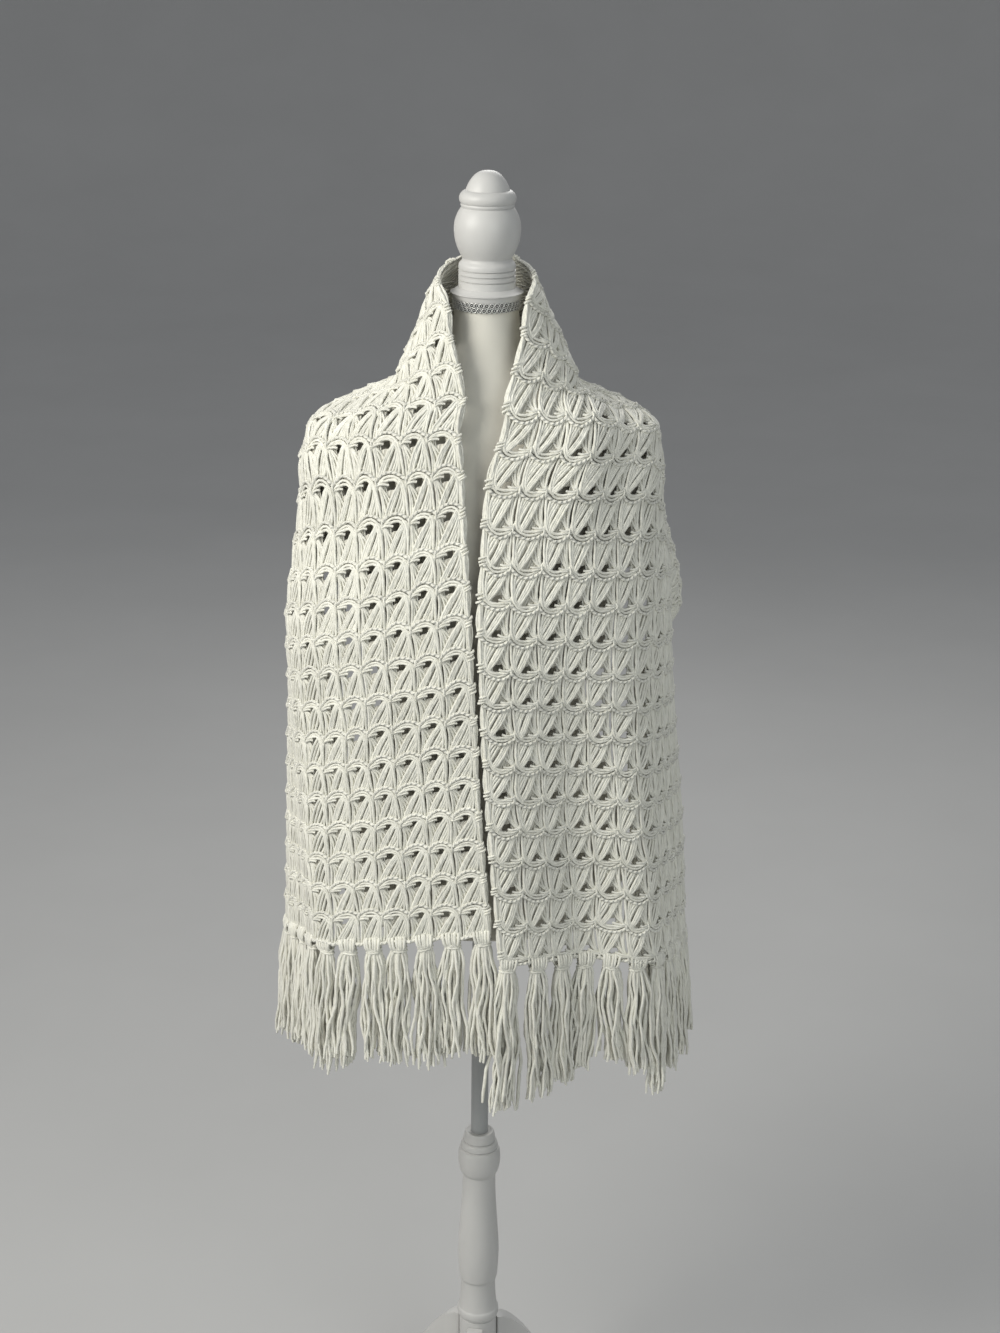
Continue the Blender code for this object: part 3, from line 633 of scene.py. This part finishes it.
def draped_grid():
    """Points and outward directions of the folded cloth on a fine grid of row and across."""
    rows = np.linspace(0.0, ROWS, ROWS * ROW_PARTS + 1)
    across = np.linspace(0.0, 1.0, ACROSS_PARTS + 1)
    share = np.linspace(0.0, 1.0, LINE_STEPS + 1) ** LINE_CROWDING
    edge = {name: eased(rows, EDGES["row"], EDGES[name])[:, None] for name in EDGES}
    around = edge["around_in"] + (edge["around_out"] - edge["around_in"]) * share ** edge["swing"]
    fall = edge["early"] * share + (1 - edge["early"]) * share**LATE_FALL
    drop = edge["drop_in"] + (edge["drop_out"] - edge["drop_in"]) * fall
    length = np.linalg.norm(np.diff(cape(around, drop), axis=1), axis=2).cumsum(axis=1)
    turned, hung = np.empty((2, len(rows), len(across)))
    for i in range(len(rows)):
        walked = np.concatenate([[0.0], length[i]]) / length[i][-1]
        turned[i] = np.interp(across, walked, around[i])
        hung[i] = np.interp(across, walked, drop[i])
    flat = cape(turned, hung)
    level = cape(turned - TURN_STEP, hung) - cape(turned + TURN_STEP, hung)
    normal = np.cross(cape(turned, hung + DROP_STEP) - cape(turned, hung - DROP_STEP), level)
    normal /= np.linalg.norm(normal, axis=-1, keepdims=True)
    rise = np.zeros(flat.shape[:2])
    for row, middle, long, wide, height, lean in zip(*FOLDS.values()):
        away = rows[:, None] - row
        off = across - middle - lean * away
        rise += height * np.exp(-((away / long) ** 2) - (off / wide) ** 2)
    points = flat + normal * rise[..., None]
    past = np.arange(1, EDGE_PARTS + 1)[None, :, None] / EDGE_PARTS
    before = points[:, :1] + past[:, ::-1] * (points[:, :1] - points[:, EDGE_PARTS : EDGE_PARTS + 1])
    after = points[:, -1:] + past * (points[:, -1:] - points[:, -EDGE_PARTS - 1 : -EDGE_PARTS])
    points = np.concatenate([before, points, after], axis=1)
    normal = np.pad(normal, ((0, 0), (EDGE_PARTS, EDGE_PARTS), (0, 0)), mode="edge")
    return points, normal


DRAPE, OUTWARD = draped_grid()


def on_cloth(row, across, lift):
    """Points at these places of the cloth, moved out by lift. Past a hem the cloth runs straight on."""
    row, across, lift = np.broadcast_arrays(*(np.asarray(v, float) for v in (row, across, lift)))
    inside = np.clip(row, 0.0, ROWS)
    r = np.clip(inside * ROW_PARTS, 0, ROWS * ROW_PARTS - 1e-6)
    a = np.clip(across * ACROSS_PARTS + EDGE_PARTS, 0, DRAPE.shape[1] - 1 - 1e-6)
    i, j = r.astype(int), a.astype(int)
    u, v = (r - i)[..., None], (a - j)[..., None]

    def mixed(grid):
        low = grid[i, j] * (1 - v) + grid[i, j + 1] * v
        high = grid[i + 1, j] * (1 - v) + grid[i + 1, j + 1] * v
        return low * (1 - u) + high * u

    hem = np.where(row > ROWS / 2, ROWS * ROW_PARTS, 0)
    near = np.where(row > ROWS / 2, ROWS * ROW_PARTS - 3, 3)
    onward = (DRAPE[hem, j] - DRAPE[near, j]) * ROW_PARTS / 3.0
    past = np.abs(row - inside)[..., None]
    return mixed(DRAPE) + onward * past + mixed(OUTWARD) * lift[..., None]


def stitch(count):
    """How far across this many stitch groups reach from the neck's edge. The first are the widest."""
    share = np.asarray(count, float) / GROUPS
    return SCALLOP + (1 - 2 * SCALLOP) * share * (1 + GROUP_CROWDING * (1 - share))


# Yarn.
# Soft off-white yarn of three plies, about three millimetres thick, with a short fuzz. Every strand
# is a tube along its own line, and Geometry Nodes grow the tubes from those lines.
YARN_LIGHT = (0.90, 0.89, 0.81)
YARN_DARK = (0.82, 0.81, 0.72)
PLY_TWIST = 620.0
CORD_TWIST = 1080.0
PLY_DEPTH = 0.16
STRAND_PHASE = 17.0


def yarn_tubes(tree, given):
    """Round yarn along every line of the mesh, as thick as its points say."""
    run = node(
        tree, "GeometryNodeStoreNamedAttribute", data_type="FLOAT", domain="POINT", Name="run",
        Geometry=node(tree, "GeometryNodeMeshToCurve", Mesh=given["Geometry"]),
        Value=node(tree, "GeometryNodeSplineParameter").outputs["Length"],
    )
    thick = node(tree, "GeometryNodeInputNamedAttribute", data_type="FLOAT", Name="thick")
    side = node(
        tree, "GeometryNodeStoreNamedAttribute", data_type="FLOAT_VECTOR", domain="POINT", Name="side",
        Geometry=node(tree, "GeometryNodeCurvePrimitiveCircle", Radius=1.0, Resolution=given["Sides"]),
        Value=node(tree, "GeometryNodeInputPosition"),
    )
    return node(
        tree, "GeometryNodeCurveToMesh", Curve=run, Profile_Curve=side, Scale=thick,
        Fill_Caps=given["Closed Ends"],
    )


YARN_TUBES = geometry_tree("yarn_tubes", yarn_tubes, Sides="Int", Closed_Ends="Bool")


def laid_plies(tree, angle, run, shade, plies, twist):
    """A wave round the yarn that winds along it once for every turn of its plies."""
    wound = maths(tree, "MULTIPLY_ADD", run, twist, maths(tree, "MULTIPLY", angle, plies))
    return maths(tree, "SINE", maths(tree, "MULTIPLY_ADD", shade, STRAND_PHASE, wound))


def yarn_material():
    """Off-white cotton: each strand has its own shade and plies, with painted shade in the grooves; a cord
    is wound more boldly.
    """
    made, tree, shader = new_material("soft_yarn", 0.92, Sheen_Weight=0.30, Sheen_Roughness=0.5)
    shade, side, run, coil = (
        node(tree, "ShaderNodeAttribute", attribute_name=name).outputs
        for name in ("shade", "side", "run", "coil")
    )
    parts = node(tree, "ShaderNodeSeparateXYZ", Vector=side["Vector"]).outputs
    angle = maths(tree, "ARCTAN2", parts["Y"], parts["X"])
    yarn_lay, cord_lay = (
        laid_plies(tree, angle, run["Fac"], shade["Fac"], plies, twist)
        for plies, twist in ((3.0, PLY_TWIST), (1.0, CORD_TWIST))
    )
    soft_lay = maths(tree, "MULTIPLY", yarn_lay, PLY_DEPTH)
    lay = node(
        tree, "ShaderNodeMix", data_type="FLOAT", Factor=coil["Fac"], A=soft_lay, B=cord_lay
    ).outputs["Result"]
    tone = mottled(tree, YARN_LIGHT, YARN_DARK, 75.0).outputs["Color"]
    tint = mixed_colour(tree, "MULTIPLY", 1.0, tone, ranged(tree, shade["Fac"], 0.90, 1.05))
    # Painted shade: the colour darkens in the grooves between the plies, most on a cord.
    ply_groove_shaded = mixed_colour(tree, "MULTIPLY", 1.0, tint, ranged(tree, lay, 0.90, 1.02, -1.0))
    feed(shader.inputs["Base Color"], ply_groove_shaded)
    bumped(shader, speckled(tree, 1500.0), 0.30, 0.0004, bumped(shader, lay, 0.75, 0.0010))
    return made


YARN = yarn_material()


class Skein:
    """Lines of yarn gathered for one piece: points, thickness, shade and how cord-like each is."""

    def __init__(self):
        self.points, self.edges, self.count = [], [], 0
        self.values = {"thick": [], "shade": [], "coil": []}

    def add(self, points, thick, shade, coil=0.0):
        """Adds many lines at once: points is lines by points by 3."""
        points = np.asarray(points, float)
        lines, steps = points.shape[:2]
        self.points.append(points.reshape(-1, 3))
        self.values["thick"].append(np.broadcast_to(thick, (lines, steps)).reshape(-1))
        self.values["shade"].append(np.repeat(np.broadcast_to(shade, (lines,)), steps))
        self.values["coil"].append(np.full(lines * steps, coil))
        start = self.count + np.arange(lines)[:, None] * steps + np.arange(steps - 1)[None, :]
        self.edges.append(np.stack([start, start + 1], axis=-1).reshape(-1, 2))
        self.count += lines * steps

    def spun(self, name, sides, closed=False):
        """The yarn of these lines as one plain mesh."""
        lines = bpy.data.meshes.new(f"{name}_lines")
        lines.from_pydata(np.concatenate(self.points), np.concatenate(self.edges), [])
        for label, values in self.values.items():
            mark_points(lines, label, np.concatenate(values))
        return grown(name, lines, YARN_TUBES, YARN, Sides=sides, Closed_Ends=closed)


def yarn_piece(name, skein, sides, closed=False, replaced=()):
    """One piece of the shawl from its lines of yarn, kept with the others."""
    finished(name, skein.spun(name, sides, closed), YARN, "yarn", *replaced)


# Stitches of the shawl.
# Broomstick lace: at each row the long loops are caught in groups under a crocheted cord, and fan
# out over the cord below. The cord arches over an eye in every group and dips to a knot between.
ARCH = 0.22
ARCH_SPREAD = 0.45
HEM_ARCH = 0.25
KNOT_DIP = 0.10
KNOT_WANDER = 0.09
KNOT_RISE = 0.07
KNOT_SWELL = 0.28
CORD_STEPS = 9
STRAND_RADIUS = 0.00172
STRAND_WANDER = (0.016, 0.010, 0.00025)
CORD_RADIUS = 0.00185
CORD_LIFT = 0.0016
TIE_RADIUS = 0.00130
LINING_RADIUS = 0.00135
LINING_LIFT = -0.00265
CLOSE_ROWS = (16, 29)
WIDE_GROUPS = 6
EDGE_LOOPS = 3
EDGE_STITCHES = 3
EDGE_WAYS = ((0.0, -1.0), (1.0, 1.0))
# The stops of an edge stitch: along the rows, out past the edge, and lift.
EDGE_STOPS = np.array(
    ((-0.05, -0.019, 0.0008), (-0.01, -0.007, 0.0030), (0.03, 0.002, 0.0022), (0.05, 0.0, -0.0014))
)
draw = np.random.default_rng(11)


def eye_openness():
    """How wide each group's eye stands, from 0 to 1: widest on the fronts, least round the neck."""
    uneven = draw.random((ROWS, GROUPS))
    row, group = np.mgrid[0:ROWS, 0:GROUPS]
    on_left = row < ROWS / 2
    near_edge = np.exp(-(((group - 2.0) / 3.0) ** 2))
    front_rows = np.where(on_left, (row - 11.0) / 5.0, (row - 36.0) / 7.0)
    width = uneven + np.where(on_left, 0.75 * near_edge, 0.50) + 0.55 * np.exp(-(front_rows**2))
    width -= np.where(on_left, 0.09, 0.05) * group
    width -= np.where(on_left, 0.0, 0.9 * np.exp(-((group / 2.2) ** 2)))
    width[CLOSE_ROWS[0] : CLOSE_ROWS[1]] -= 0.30
    rank = np.argsort(np.argsort(width, axis=None)).reshape(width.shape) / width.size
    return np.clip((rank - 0.25) / 0.65, 0.0, 1.0)


OPEN = eye_openness()
# The knots of each cord wander a little along it and across it, and no two arches are the same.
knots = np.arange(GROUPS + 1) + KNOT_WANDER * (2 * draw.random((ROWS + 1, GROUPS + 1)) - 1)
knots[:, 0], knots[:, -1] = 0.0, GROUPS
KNOT_ACROSS = stitch(knots)
KNOT_ROW = (draw.random((ROWS + 1, GROUPS + 1)) - 0.5) * KNOT_RISE
ARCH_SIZE = 1.0 + (draw.random((ROWS + 1, GROUPS)) - 0.5) * ARCH_SPREAD
ARCH_SIZE[0] = ARCH_SIZE[ROWS] = HEM_ARCH


def cord_row(row, group, share):
    """How far a cord stands from its row, this share of the way along a group."""
    between = KNOT_ROW[row, group] * (1 - share) + KNOT_ROW[row, group + 1] * share
    arch = ARCH * ARCH_SIZE[row, group] * np.sin(pi * np.clip(share, 0.0, 1.0)) ** 0.75
    return between + arch - KNOT_DIP * np.minimum(ARCH_SIZE[row, group], 1.0)


def cord_across(row, group, share):
    """The place across of this share of a group on a cord."""
    return KNOT_ACROSS[row, group] * (1 - share) + KNOT_ACROSS[row, group + 1] * share


def scatter(*shape):
    """Seeded random numbers from -1 to 1."""
    return 2 * draw.random(shape) - 1


def smooth_run(stops, steps):
    """A smooth line of this many steps through the stops of every strand."""
    count = stops.shape[1]
    at = np.linspace(0, count - 1, steps + 1)
    i = np.minimum(at.astype(int), count - 2)
    around = (stops[:, np.clip(i + k, 0, count - 1)] for k in (-1, 0, 1, 2))
    return catmull_rom(*around, (at - i)[None, :, None])


def lay(skein, row, group, strands, *shares):
    """Lays strands in every cell. Each has a radius, steps and stops: across, up and lift."""
    r, g = row[:, None], group[:, None]
    for radius, steps, *stops in strands(1 - OPEN[row, group], *shares):
        ends = [np.stack(np.broadcast_arrays(*stop, np.zeros(len(row)))[:3], axis=-1) for stop in stops]
        wander = scatter(len(row), len(stops), 3) * STRAND_WANDER
        run = smooth_run(np.stack(ends, axis=1) + wander, steps)
        u, v = run[..., 0], run[..., 1]
        line_row = r + v + (1 - v) * cord_row(r, g, u) + v * cord_row(r + 1, g, u)
        across = (1 - v) * cord_across(r, g, u) + v * cord_across(r + 1, g, u)
        thick = radius * (1 + 0.08 * scatter(len(row), 1))
        skein.add(on_cloth(line_row, across, run[..., 2]), thick, draw.random(len(row)))


def swept_strands(shut):
    """Two loops sweep down beside the eye, round under it and on to the far knot, as its rim."""
    for k in (0, 1):
        rim = 0.905 - 0.078 * k - 0.02 * shut * k
        yield (
            STRAND_RADIUS, 12, (0.06 + 0.15 * k, 0.0, -0.0004), (0.055 + 0.08 * k, 0.32, 0.0008),
            (0.06 + 0.08 * k, 0.60, 0.0014), (0.14 + 0.07 * k, rim - 0.06, 0.0013), (0.38, rim, 0.0010),
            (0.64, rim, 0.0009), (0.86, rim + 0.02 * k, 0.0010), (0.99, 0.905, 0.0),
        )


def leaning_strands(shut, *shares):
    """The main fan: from the knot beside the eye, bowed, across to most of the cord below."""
    for share in shares:
        foot = 0.33 + (0.60 - 0.10 * shut) * share
        knot = 0.06 + (0.10 + 0.10 * shut) * share
        bow = 0.07 - (0.04 + 0.06 * shut) * share
        yield (
            STRAND_RADIUS, 7, (foot, 0.0, -0.0004),
            (foot + (knot - foot) * 0.36 - bow, 0.32, 0.0004 + 0.0010 * share),
            (foot + (knot - foot) * 0.72 - bow, 0.64, 0.0009 + 0.0012 * share), (knot, 0.90, 0.0002),
        )


def crossing_strands(shut):
    """The other fan: from the far knot, steep at the side and flatter where it passes beneath."""
    for k, foot in enumerate((0.965, 0.84, 0.68, 0.50)):
        middle = 0.5 * foot + 0.46 - 0.03 * (k == 0) - 0.03 * k * shut
        yield (
            STRAND_RADIUS * 0.95, 5, (foot, 0.03 * k, -0.0008 - 0.0004 * k),
            (middle, 0.46, -0.0002 - 0.0005 * k), (0.955 - 0.02 * k, 0.885 - 0.035 * k, 0.0005),
        )


def ties(shut):
    """Short stitches reach from each knot towards its eye, and one wraps up over the cord there."""
    for k in (0, 1):
        yield (
            TIE_RADIUS * 1.15, 4, (1.05, 0.93 - 0.03 * k, 0.0010), (0.87, 0.87 - 0.05 * k, 0.0030),
            (0.60, 0.81 - 0.10 * k, 0.0006),
        )
    yield (
        TIE_RADIUS, 4, (1.01, 0.80, -0.0010), (0.985, 0.90, 0.0030), (1.0, 0.995, 0.0042),
        (1.01, 1.09, 0.0010),
    )


def lining_strands(shut):
    """The loops' back legs, which show on the inside of the shawl."""
    for top, foot in ((0.06, 0.14), (0.20, 0.42), (0.80, 0.66), (0.95, 0.90)):
        yield LINING_RADIUS, 3, (foot, 0.02, LINING_LIFT), (top, 0.98, LINING_LIFT)


def cords(skein, rows):
    """Each row's crocheted cord, thicker where it is knotted."""
    share = np.arange(GROUPS * CORD_STEPS + 1) / CORD_STEPS
    group = np.minimum(share.astype(int), GROUPS - 1)
    within = share - group
    knotted = np.exp(-((np.abs(share - np.round(share)) / 0.13) ** 2))
    for row in rows:
        line_row = row + cord_row(row, group, within) + 0.010 * scatter(len(share))
        lift = CORD_LIFT + 0.0007 * knotted + 0.0002 * scatter(len(share))
        points = on_cloth(line_row, cord_across(row, group, within), lift)
        skein.add(points[None], CORD_RADIUS * (1 + KNOT_SWELL * knotted)[None], draw.random(1), 1.0)


def selvedge(skein, rows):
    """The outermost loops of both long edges bulge a little between the cords."""
    t = np.linspace(0.0, 1.0, 7)[None, :]
    rows = np.asarray(rows)[:, None]
    for edge, way in EDGE_WAYS:
        for k in range(EDGE_LOOPS):
            bulge = (0.0060 - 0.0040 * k) * (1 + 0.35 * scatter(len(rows), 1)) * np.sin(pi * t**1.3) ** 0.8
            lift = (-0.0008 + 0.0014 * k) * np.sin(pi * t) + 0.0006 * scatter(len(rows), 1)
            points = on_cloth(rows - 0.10 + t, edge + way * (bulge - 0.002), lift)
            skein.add(points, TIE_RADIUS * (1.05 + 0.15 * k), draw.random(len(rows)))


def edge_knots(skein, rows):
    """Where a cord ends, small slanted stitches bind it into the edge of the cloth."""
    rows = np.asarray(rows)
    along, side, lift = EDGE_STOPS.T
    for edge, way in EDGE_WAYS:
        for k in range(EDGE_STITCHES):
            start = rows + 0.90 - 0.095 * k + 0.02 * scatter(len(rows))
            out = 0.0035 * (1 + 0.8 * scatter(len(rows)))
            across = edge + way * (out[:, None] + side)
            stops = np.stack(np.broadcast_arrays(start[:, None] + along, across, lift), axis=-1)
            run = np.moveaxis(smooth_run(stops, 6), -1, 0)
            skein.add(on_cloth(*run), TIE_RADIUS * 1.1, draw.random(len(start)))


REGIONS = (("left_front", 0, 18), ("neck_and_back", 18, 27), ("right_front", 27, ROWS))
for region, first, last in REGIONS:
    row, group = (v.reshape(-1) for v in np.mgrid[first:last, 0:GROUPS])
    wide = group < WIDE_GROUPS
    fans, crossings, lining, corded = (Skein() for piece in range(4))
    lay(fans, row, group, swept_strands)
    lay(fans, row, group, leaning_strands, 0.0, 0.33, 0.67, 1.0)
    lay(fans, row[wide], group[wide], leaning_strands, 0.17, 0.83)
    yarn_piece(f"shawl_fans_{region}", fans, 5)
    lay(crossings, row, group, crossing_strands)
    lay(crossings, row, group, ties)
    selvedge(crossings, np.arange(first, last))
    edge_knots(crossings, np.arange(first, last))
    yarn_piece(f"shawl_crossings_{region}", crossings, 4)
    lay(lining, row, group, lining_strands)
    yarn_piece(f"shawl_lining_{region}", lining, 3)
    cords(corded, range(first + (first > 0), last + 1))
    if first == 0:
        cords(corded, [0])
    yarn_piece(f"shawl_cords_{region}", corded, 6, True)

# Ground of the shawl.
# Behind the fans lies a thin sheet of the loops' crossed middles, open at the wider eyes and
# between the groups. It is the cloth's own surface, 0.43 m wide and 1.71 m long before it was hung.
GROUND_LIFT = -0.0016
GROUND_THICKNESS = 0.0004
GROUND_ACROSS = (0.0, 0.05, 0.39, 0.60, 0.78, 0.95)
GROUND_UP = (0.0, 0.16, 0.59, 0.79)
EYE_OPENS = 0.38
GROUND_STRANDS = 8
# Painted shade: the ground's yarn colours are darkened as if in the fans' shade, most between strands.
GROUND_SHADED_STRAND = (0.80, 0.785, 0.70)
GROUND_SHADED_GAP = (0.56, 0.545, 0.475)


def ground_mesh():
    """The sheet as four-sided faces between the cords, without its openings."""
    ups, sides = len(GROUND_UP), len(GROUND_ACROSS)
    r, i = np.divmod(np.arange(ROWS * ups + 1), ups)
    g, j = np.divmod(np.arange(GROUPS * sides + 1), sides)
    up = np.array(GROUND_UP)[i][:, None]
    side = np.array(GROUND_ACROSS)[j][None, :]
    r, g = r[:, None], g[None, :]
    last_r, last_g = np.minimum(r + 1, ROWS), np.minimum(g, GROUPS - 1)
    side = np.where(g == GROUPS, 1.0, side)
    low = r + cord_row(r, last_g, side) * (1 - up)
    line_row = low + up * (1 + cord_row(last_r, last_g, side))
    across = cord_across(r, last_g, side) * (1 - up) + cord_across(last_r, last_g, side) * up
    points = on_cloth(line_row, across, GROUND_LIFT)
    columns = points.shape[1]
    faces = []
    for a in range(ROWS * ups):
        for b in range(GROUPS * sides):
            slit = b % sides in (0, sides - 1) and 0 < a % ups < ups - 1 and 0 < b < GROUPS * sides - 1
            eye = a % ups == 2 and b % sides in (2, 3) and OPEN[a // ups, b // sides] > EYE_OPENS
            if not slit and not eye:
                first = a * columns + b
                faces.append((first, first + columns, first + columns + 1, first + 1))
    mesh = bpy.data.meshes.new("shawl_ground")
    mesh.from_pydata(points.reshape(-1, 3), [], faces)
    counted = GROUND_STRANDS * (g + side + 0.5 * (r + up)) + np.zeros(points.shape[:2])
    mark_points(mesh, "lean", counted)
    return mesh


def ground_material():
    """The crossed middles as leaning strands side by side, coloured with painted shade of the fans and
    darkest between them.
    """
    material, tree, shader = new_material("lace_ground", 0.9)
    counted = node(tree, "ShaderNodeAttribute", attribute_name="lean").outputs["Fac"]
    wave = maths(tree, "SINE", maths(tree, "MULTIPLY", counted, 2 * pi))
    raised = ranged(tree, wave, 0.0, 1.0, -1.0)
    tone = mixed_colour(tree, "MIX", raised, (*GROUND_SHADED_GAP, 1.0), (*GROUND_SHADED_STRAND, 1.0))
    feed(shader.inputs["Base Color"], tone)
    bumped(shader, raised, 0.8, 0.0012)
    return material


GROUND = ground_material()
ground_sheet = placed("ground_sheet", ground_mesh())
thicken = ground_sheet.modifiers.new("thicken", "SOLIDIFY")
thicken.thickness = GROUND_THICKNESS
thicken.offset = -1.0
ground = plain_mesh(ground_sheet)
ground.shade_smooth()
shawl_ground = finished(
    "shawl_ground", ground, GROUND, "yarn", "shawl_left_front", "shawl_neck_and_back", "shawl_right_front"
)

# Fringe.
# Fifteen tassels are knotted into each hem. A bundle of cut yarn is folded over the last cord, and
# its ends are pulled through the fold, which closes round them as a band.
FRINGE = table(
    "across left right",
    (0.00, 0.152, 0.178), (0.06, 0.153, 0.186), (0.14, 0.149, 0.164), (0.20, 0.158, 0.160),
    (0.29, 0.146, 0.134), (0.38, 0.147, 0.138), (0.45, 0.163, 0.166), (0.55, 0.140, 0.148),
    (0.70, 0.148, 0.142), (0.85, 0.155, 0.152), (1.00, 0.145, 0.150),
)
EDGE_SHIFT = 0.24
EDGE_SHIFT_REACH = 1.3
KNOT_LOOPS = 6
KNOT_PINCH = 0.70
LOOP_REACH = 0.0088
BAND_REACH = 0.0086
BAND_DEPTH = 0.0052
BAND_DROP = 0.0098
BAND_TURNS = 2
BAND_PITCH = 0.0036
TASSEL_STRANDS = 28
TASSEL_REACH = 0.0088
TASSEL_DEPTH = 0.0056
FRINGE_RADIUS = 0.00205
FRINGE_SPLAY = 0.05
HANGING_STEPS = 12
STRAND_TURN = 2.4
SLOW_WAVE = 0.11
QUICK_WAVE = 0.047


def unit(way):
    """A direction at length one."""
    return way / np.linalg.norm(way)


def hem_directions(row, number):
    """The middle of a group in the hem, with the ways along it, outwards and down the cloth."""
    to_last, to_first = (np.exp(-count / EDGE_SHIFT_REACH) for count in (GROUPS - 1 - number, number))
    lean = EDGE_SHIFT * (to_last - to_first)
    ends = stitch([number + lean, number + 1 + lean])
    first, second = on_cloth(row, ends, -0.001)
    inward = on_cloth(row + (0.25 if row == 0 else -0.25), ends, -0.001).mean(axis=0)
    middle = (first + second) / 2
    along = unit(second - first)
    away = middle - inward
    away = unit(away - along * away.dot(along))
    through = np.cross(along, away)
    if through.dot(middle - np.array([*AXIS, middle[2]])) < 0:
        through = -through
    return middle, along, through, away


def tassel(skein, row, number):
    """One tassel: the folded ends over the hem, the band round them, and the hanging strands."""
    middle, along, through, away = hem_directions(row, number)

    def spot(s, t, d):
        return middle + along * s + through * t + away * d

    for s in np.linspace(-1.0, 1.0, KNOT_LOOPS) * LOOP_REACH:
        s = s + 0.0008 * scatter(1)[0]
        loop = [
            spot(s * KNOT_PINCH, 0.0036, BAND_DROP),
            spot(s * 0.9, 0.0056, 0.0055),
            spot(s, 0.0042, -0.0018),
            spot(s, 0.0004, -0.0056 - 0.0012 * scatter(1)[0]),
            spot(s, -0.0042, -0.0026),
            spot(s * 0.9, -0.0050, 0.0055),
            spot(s * KNOT_PINCH, -0.0036, BAND_DROP),
        ]
        skein.add(smooth_run(np.array([loop]), 10), FRINGE_RADIUS, draw.random(1))
    turns = np.linspace(-0.1, 1.1, 13) * 2 * pi
    tilt = 0.0022 * scatter(1)[0]
    for ring in range(BAND_TURNS):
        drop = BAND_DROP + BAND_PITCH * (ring - 0.35)
        slack = 0.0009 * (1 - ring)
        band = [
            spot(BAND_REACH * sin(a), BAND_DEPTH * cos(a), drop + tilt * sin(a) + slack * cos(a))
            for a in turns
        ]
        skein.add([band], FRINGE_RADIUS, draw.random(1))
    flat_along, level = (unit(np.array([way[0], way[1], 0.0])) for way in (along, through))
    length = eased(stitch(number + 0.5), FRINGE["across"], FRINGE["left" if row == 0 else "right"])
    t = np.linspace(0.0, 1.0, HANGING_STEPS + 1)[:, None]
    swing = flat_along * 0.007 * scatter(1)[0] + level * 0.003 * scatter(1)[0]
    common = scatter(1)[0] * pi
    for k in range(TASSEL_STRANDS):
        reach = np.sqrt((k + 0.5) / TASSEL_STRANDS)
        turn = STRAND_TURN * k + number
        s, d = reach * cos(turn), reach * sin(turn)
        root = spot(BAND_REACH * 0.78 * s, BAND_DEPTH * 0.70 * d, BAND_DROP - 0.001)
        size = length * (1.0 + 0.055 * scatter(1)[0]) - BAND_DROP
        fan = (flat_along * s * TASSEL_REACH + level * d * TASSEL_DEPTH) * (1 - np.exp(-8.0 * t))
        stray = (flat_along * 0.008 * scatter(1)[0] + level * 0.003 * scatter(1)[0]) * t**1.8
        first, second = scatter(2) * pi
        slow = np.sin(2 * pi * t * size / SLOW_WAVE + common + 0.6 * first) * 0.0031 * np.minimum(1, 4 * t)
        quick = np.sin(2 * pi * t * size / QUICK_WAVE + second) * 0.0008 * np.minimum(1, 5 * t)
        line = root + (np.array([0.0, 0.0, -1.0]) + level * FRINGE_SPLAY) * size * t
        line = line + fan + swing * t + stray + flat_along * (slow + quick) + level * (quick - 0.5 * slow)
        thick = FRINGE_RADIUS * (1.0 + 0.10 * scatter(1)[0]) * np.ones(HANGING_STEPS + 1)
        thick[-1] *= 0.75
        skein.add([line], thick[None], draw.random(1))


for side, row in (("left", 0), ("right", ROWS)):
    skein = Skein()
    for number in range(GROUPS):
        tassel(skein, row, number)
    nodes = [f"tassel_{side}_{number + 1:02d}" for number in range(GROUPS)]
    yarn_piece(f"fringe_{side}", skein, 4, True, nodes)

# Floor and light.
# A plain pale floor curves up far away on every side. Three soft lamps light the piece: a warm one
# high on the left, a weaker one in front of it on the right, and one behind.
FLOOR_REACH = (
    (4.0, 0.0), (7.0, 0.0), (8.4, 0.12), (9.5, 0.55), (10.4, 1.4), (11.0, 2.6), (11.3, 4.2),
)
FLOOR_SIDES = 96
FLOOR_TONES = ((0.50, 0.50, 0.495), (0.48, 0.48, 0.475), 2.0)
# Each lamp: where it stands, what it points at, its width in metres, its watts and its colour.
LAMPS = {
    "key_lamp": ((-1.75, -1.05, 2.45), (0.0, 0.0, 1.25), 1.5, 53.0, (1.0, 0.98, 0.92)),
    "fill_lamp": ((1.2, -2.7, 2.1), (0.0, 0.0, 1.2), 1.8, 20.0, (0.95, 1.0, 0.98)),
    "back_lamp": ((0.4, 2.6, 2.8), (0.0, 0.0, 1.2), 1.6, 30.0, (1.0, 0.99, 0.96)),
}
builder = bmesh.new()
turns = np.arange(FLOOR_SIDES) * 2 * pi / FLOOR_SIDES
runs = [
    [(reach * cos(t), reach * sin(t), height) for t in turns]
    for reach, height in rounded_run(FLOOR_REACH, 4)
]
builder.faces.new(ringed(builder, runs)[0])
floor_mesh = bpy.data.meshes.new("floor")
builder.to_mesh(floor_mesh)
builder.free()
floor_mesh.shade_smooth()
floor = placed("floor", floor_mesh)
floor_mesh.materials.append(new_material("pale_floor", 0.75, FLOOR_TONES)[0])

for name, (place, aim, size, watts, colour) in LAMPS.items():
    light = bpy.data.lights.new(name, "AREA")
    light.shape = "DISK"
    light.size = size
    light.energy = watts
    light.color = colour
    facing = (Vector(aim) - Vector(place)).to_track_quat("-Z", "Y").to_matrix().to_4x4()
    placed(name, light).matrix_world = Matrix.Translation(place) @ facing

world = bpy.data.worlds.new("studio")
world.use_nodes = True
sky = world.node_tree.nodes["Background"].inputs
sky["Color"].default_value = (0.80, 0.82, 0.85, 1.0)
sky["Strength"].default_value = 0.42
bpy.context.scene.world = world
bpy.context.scene.view_settings.view_transform = "Standard"
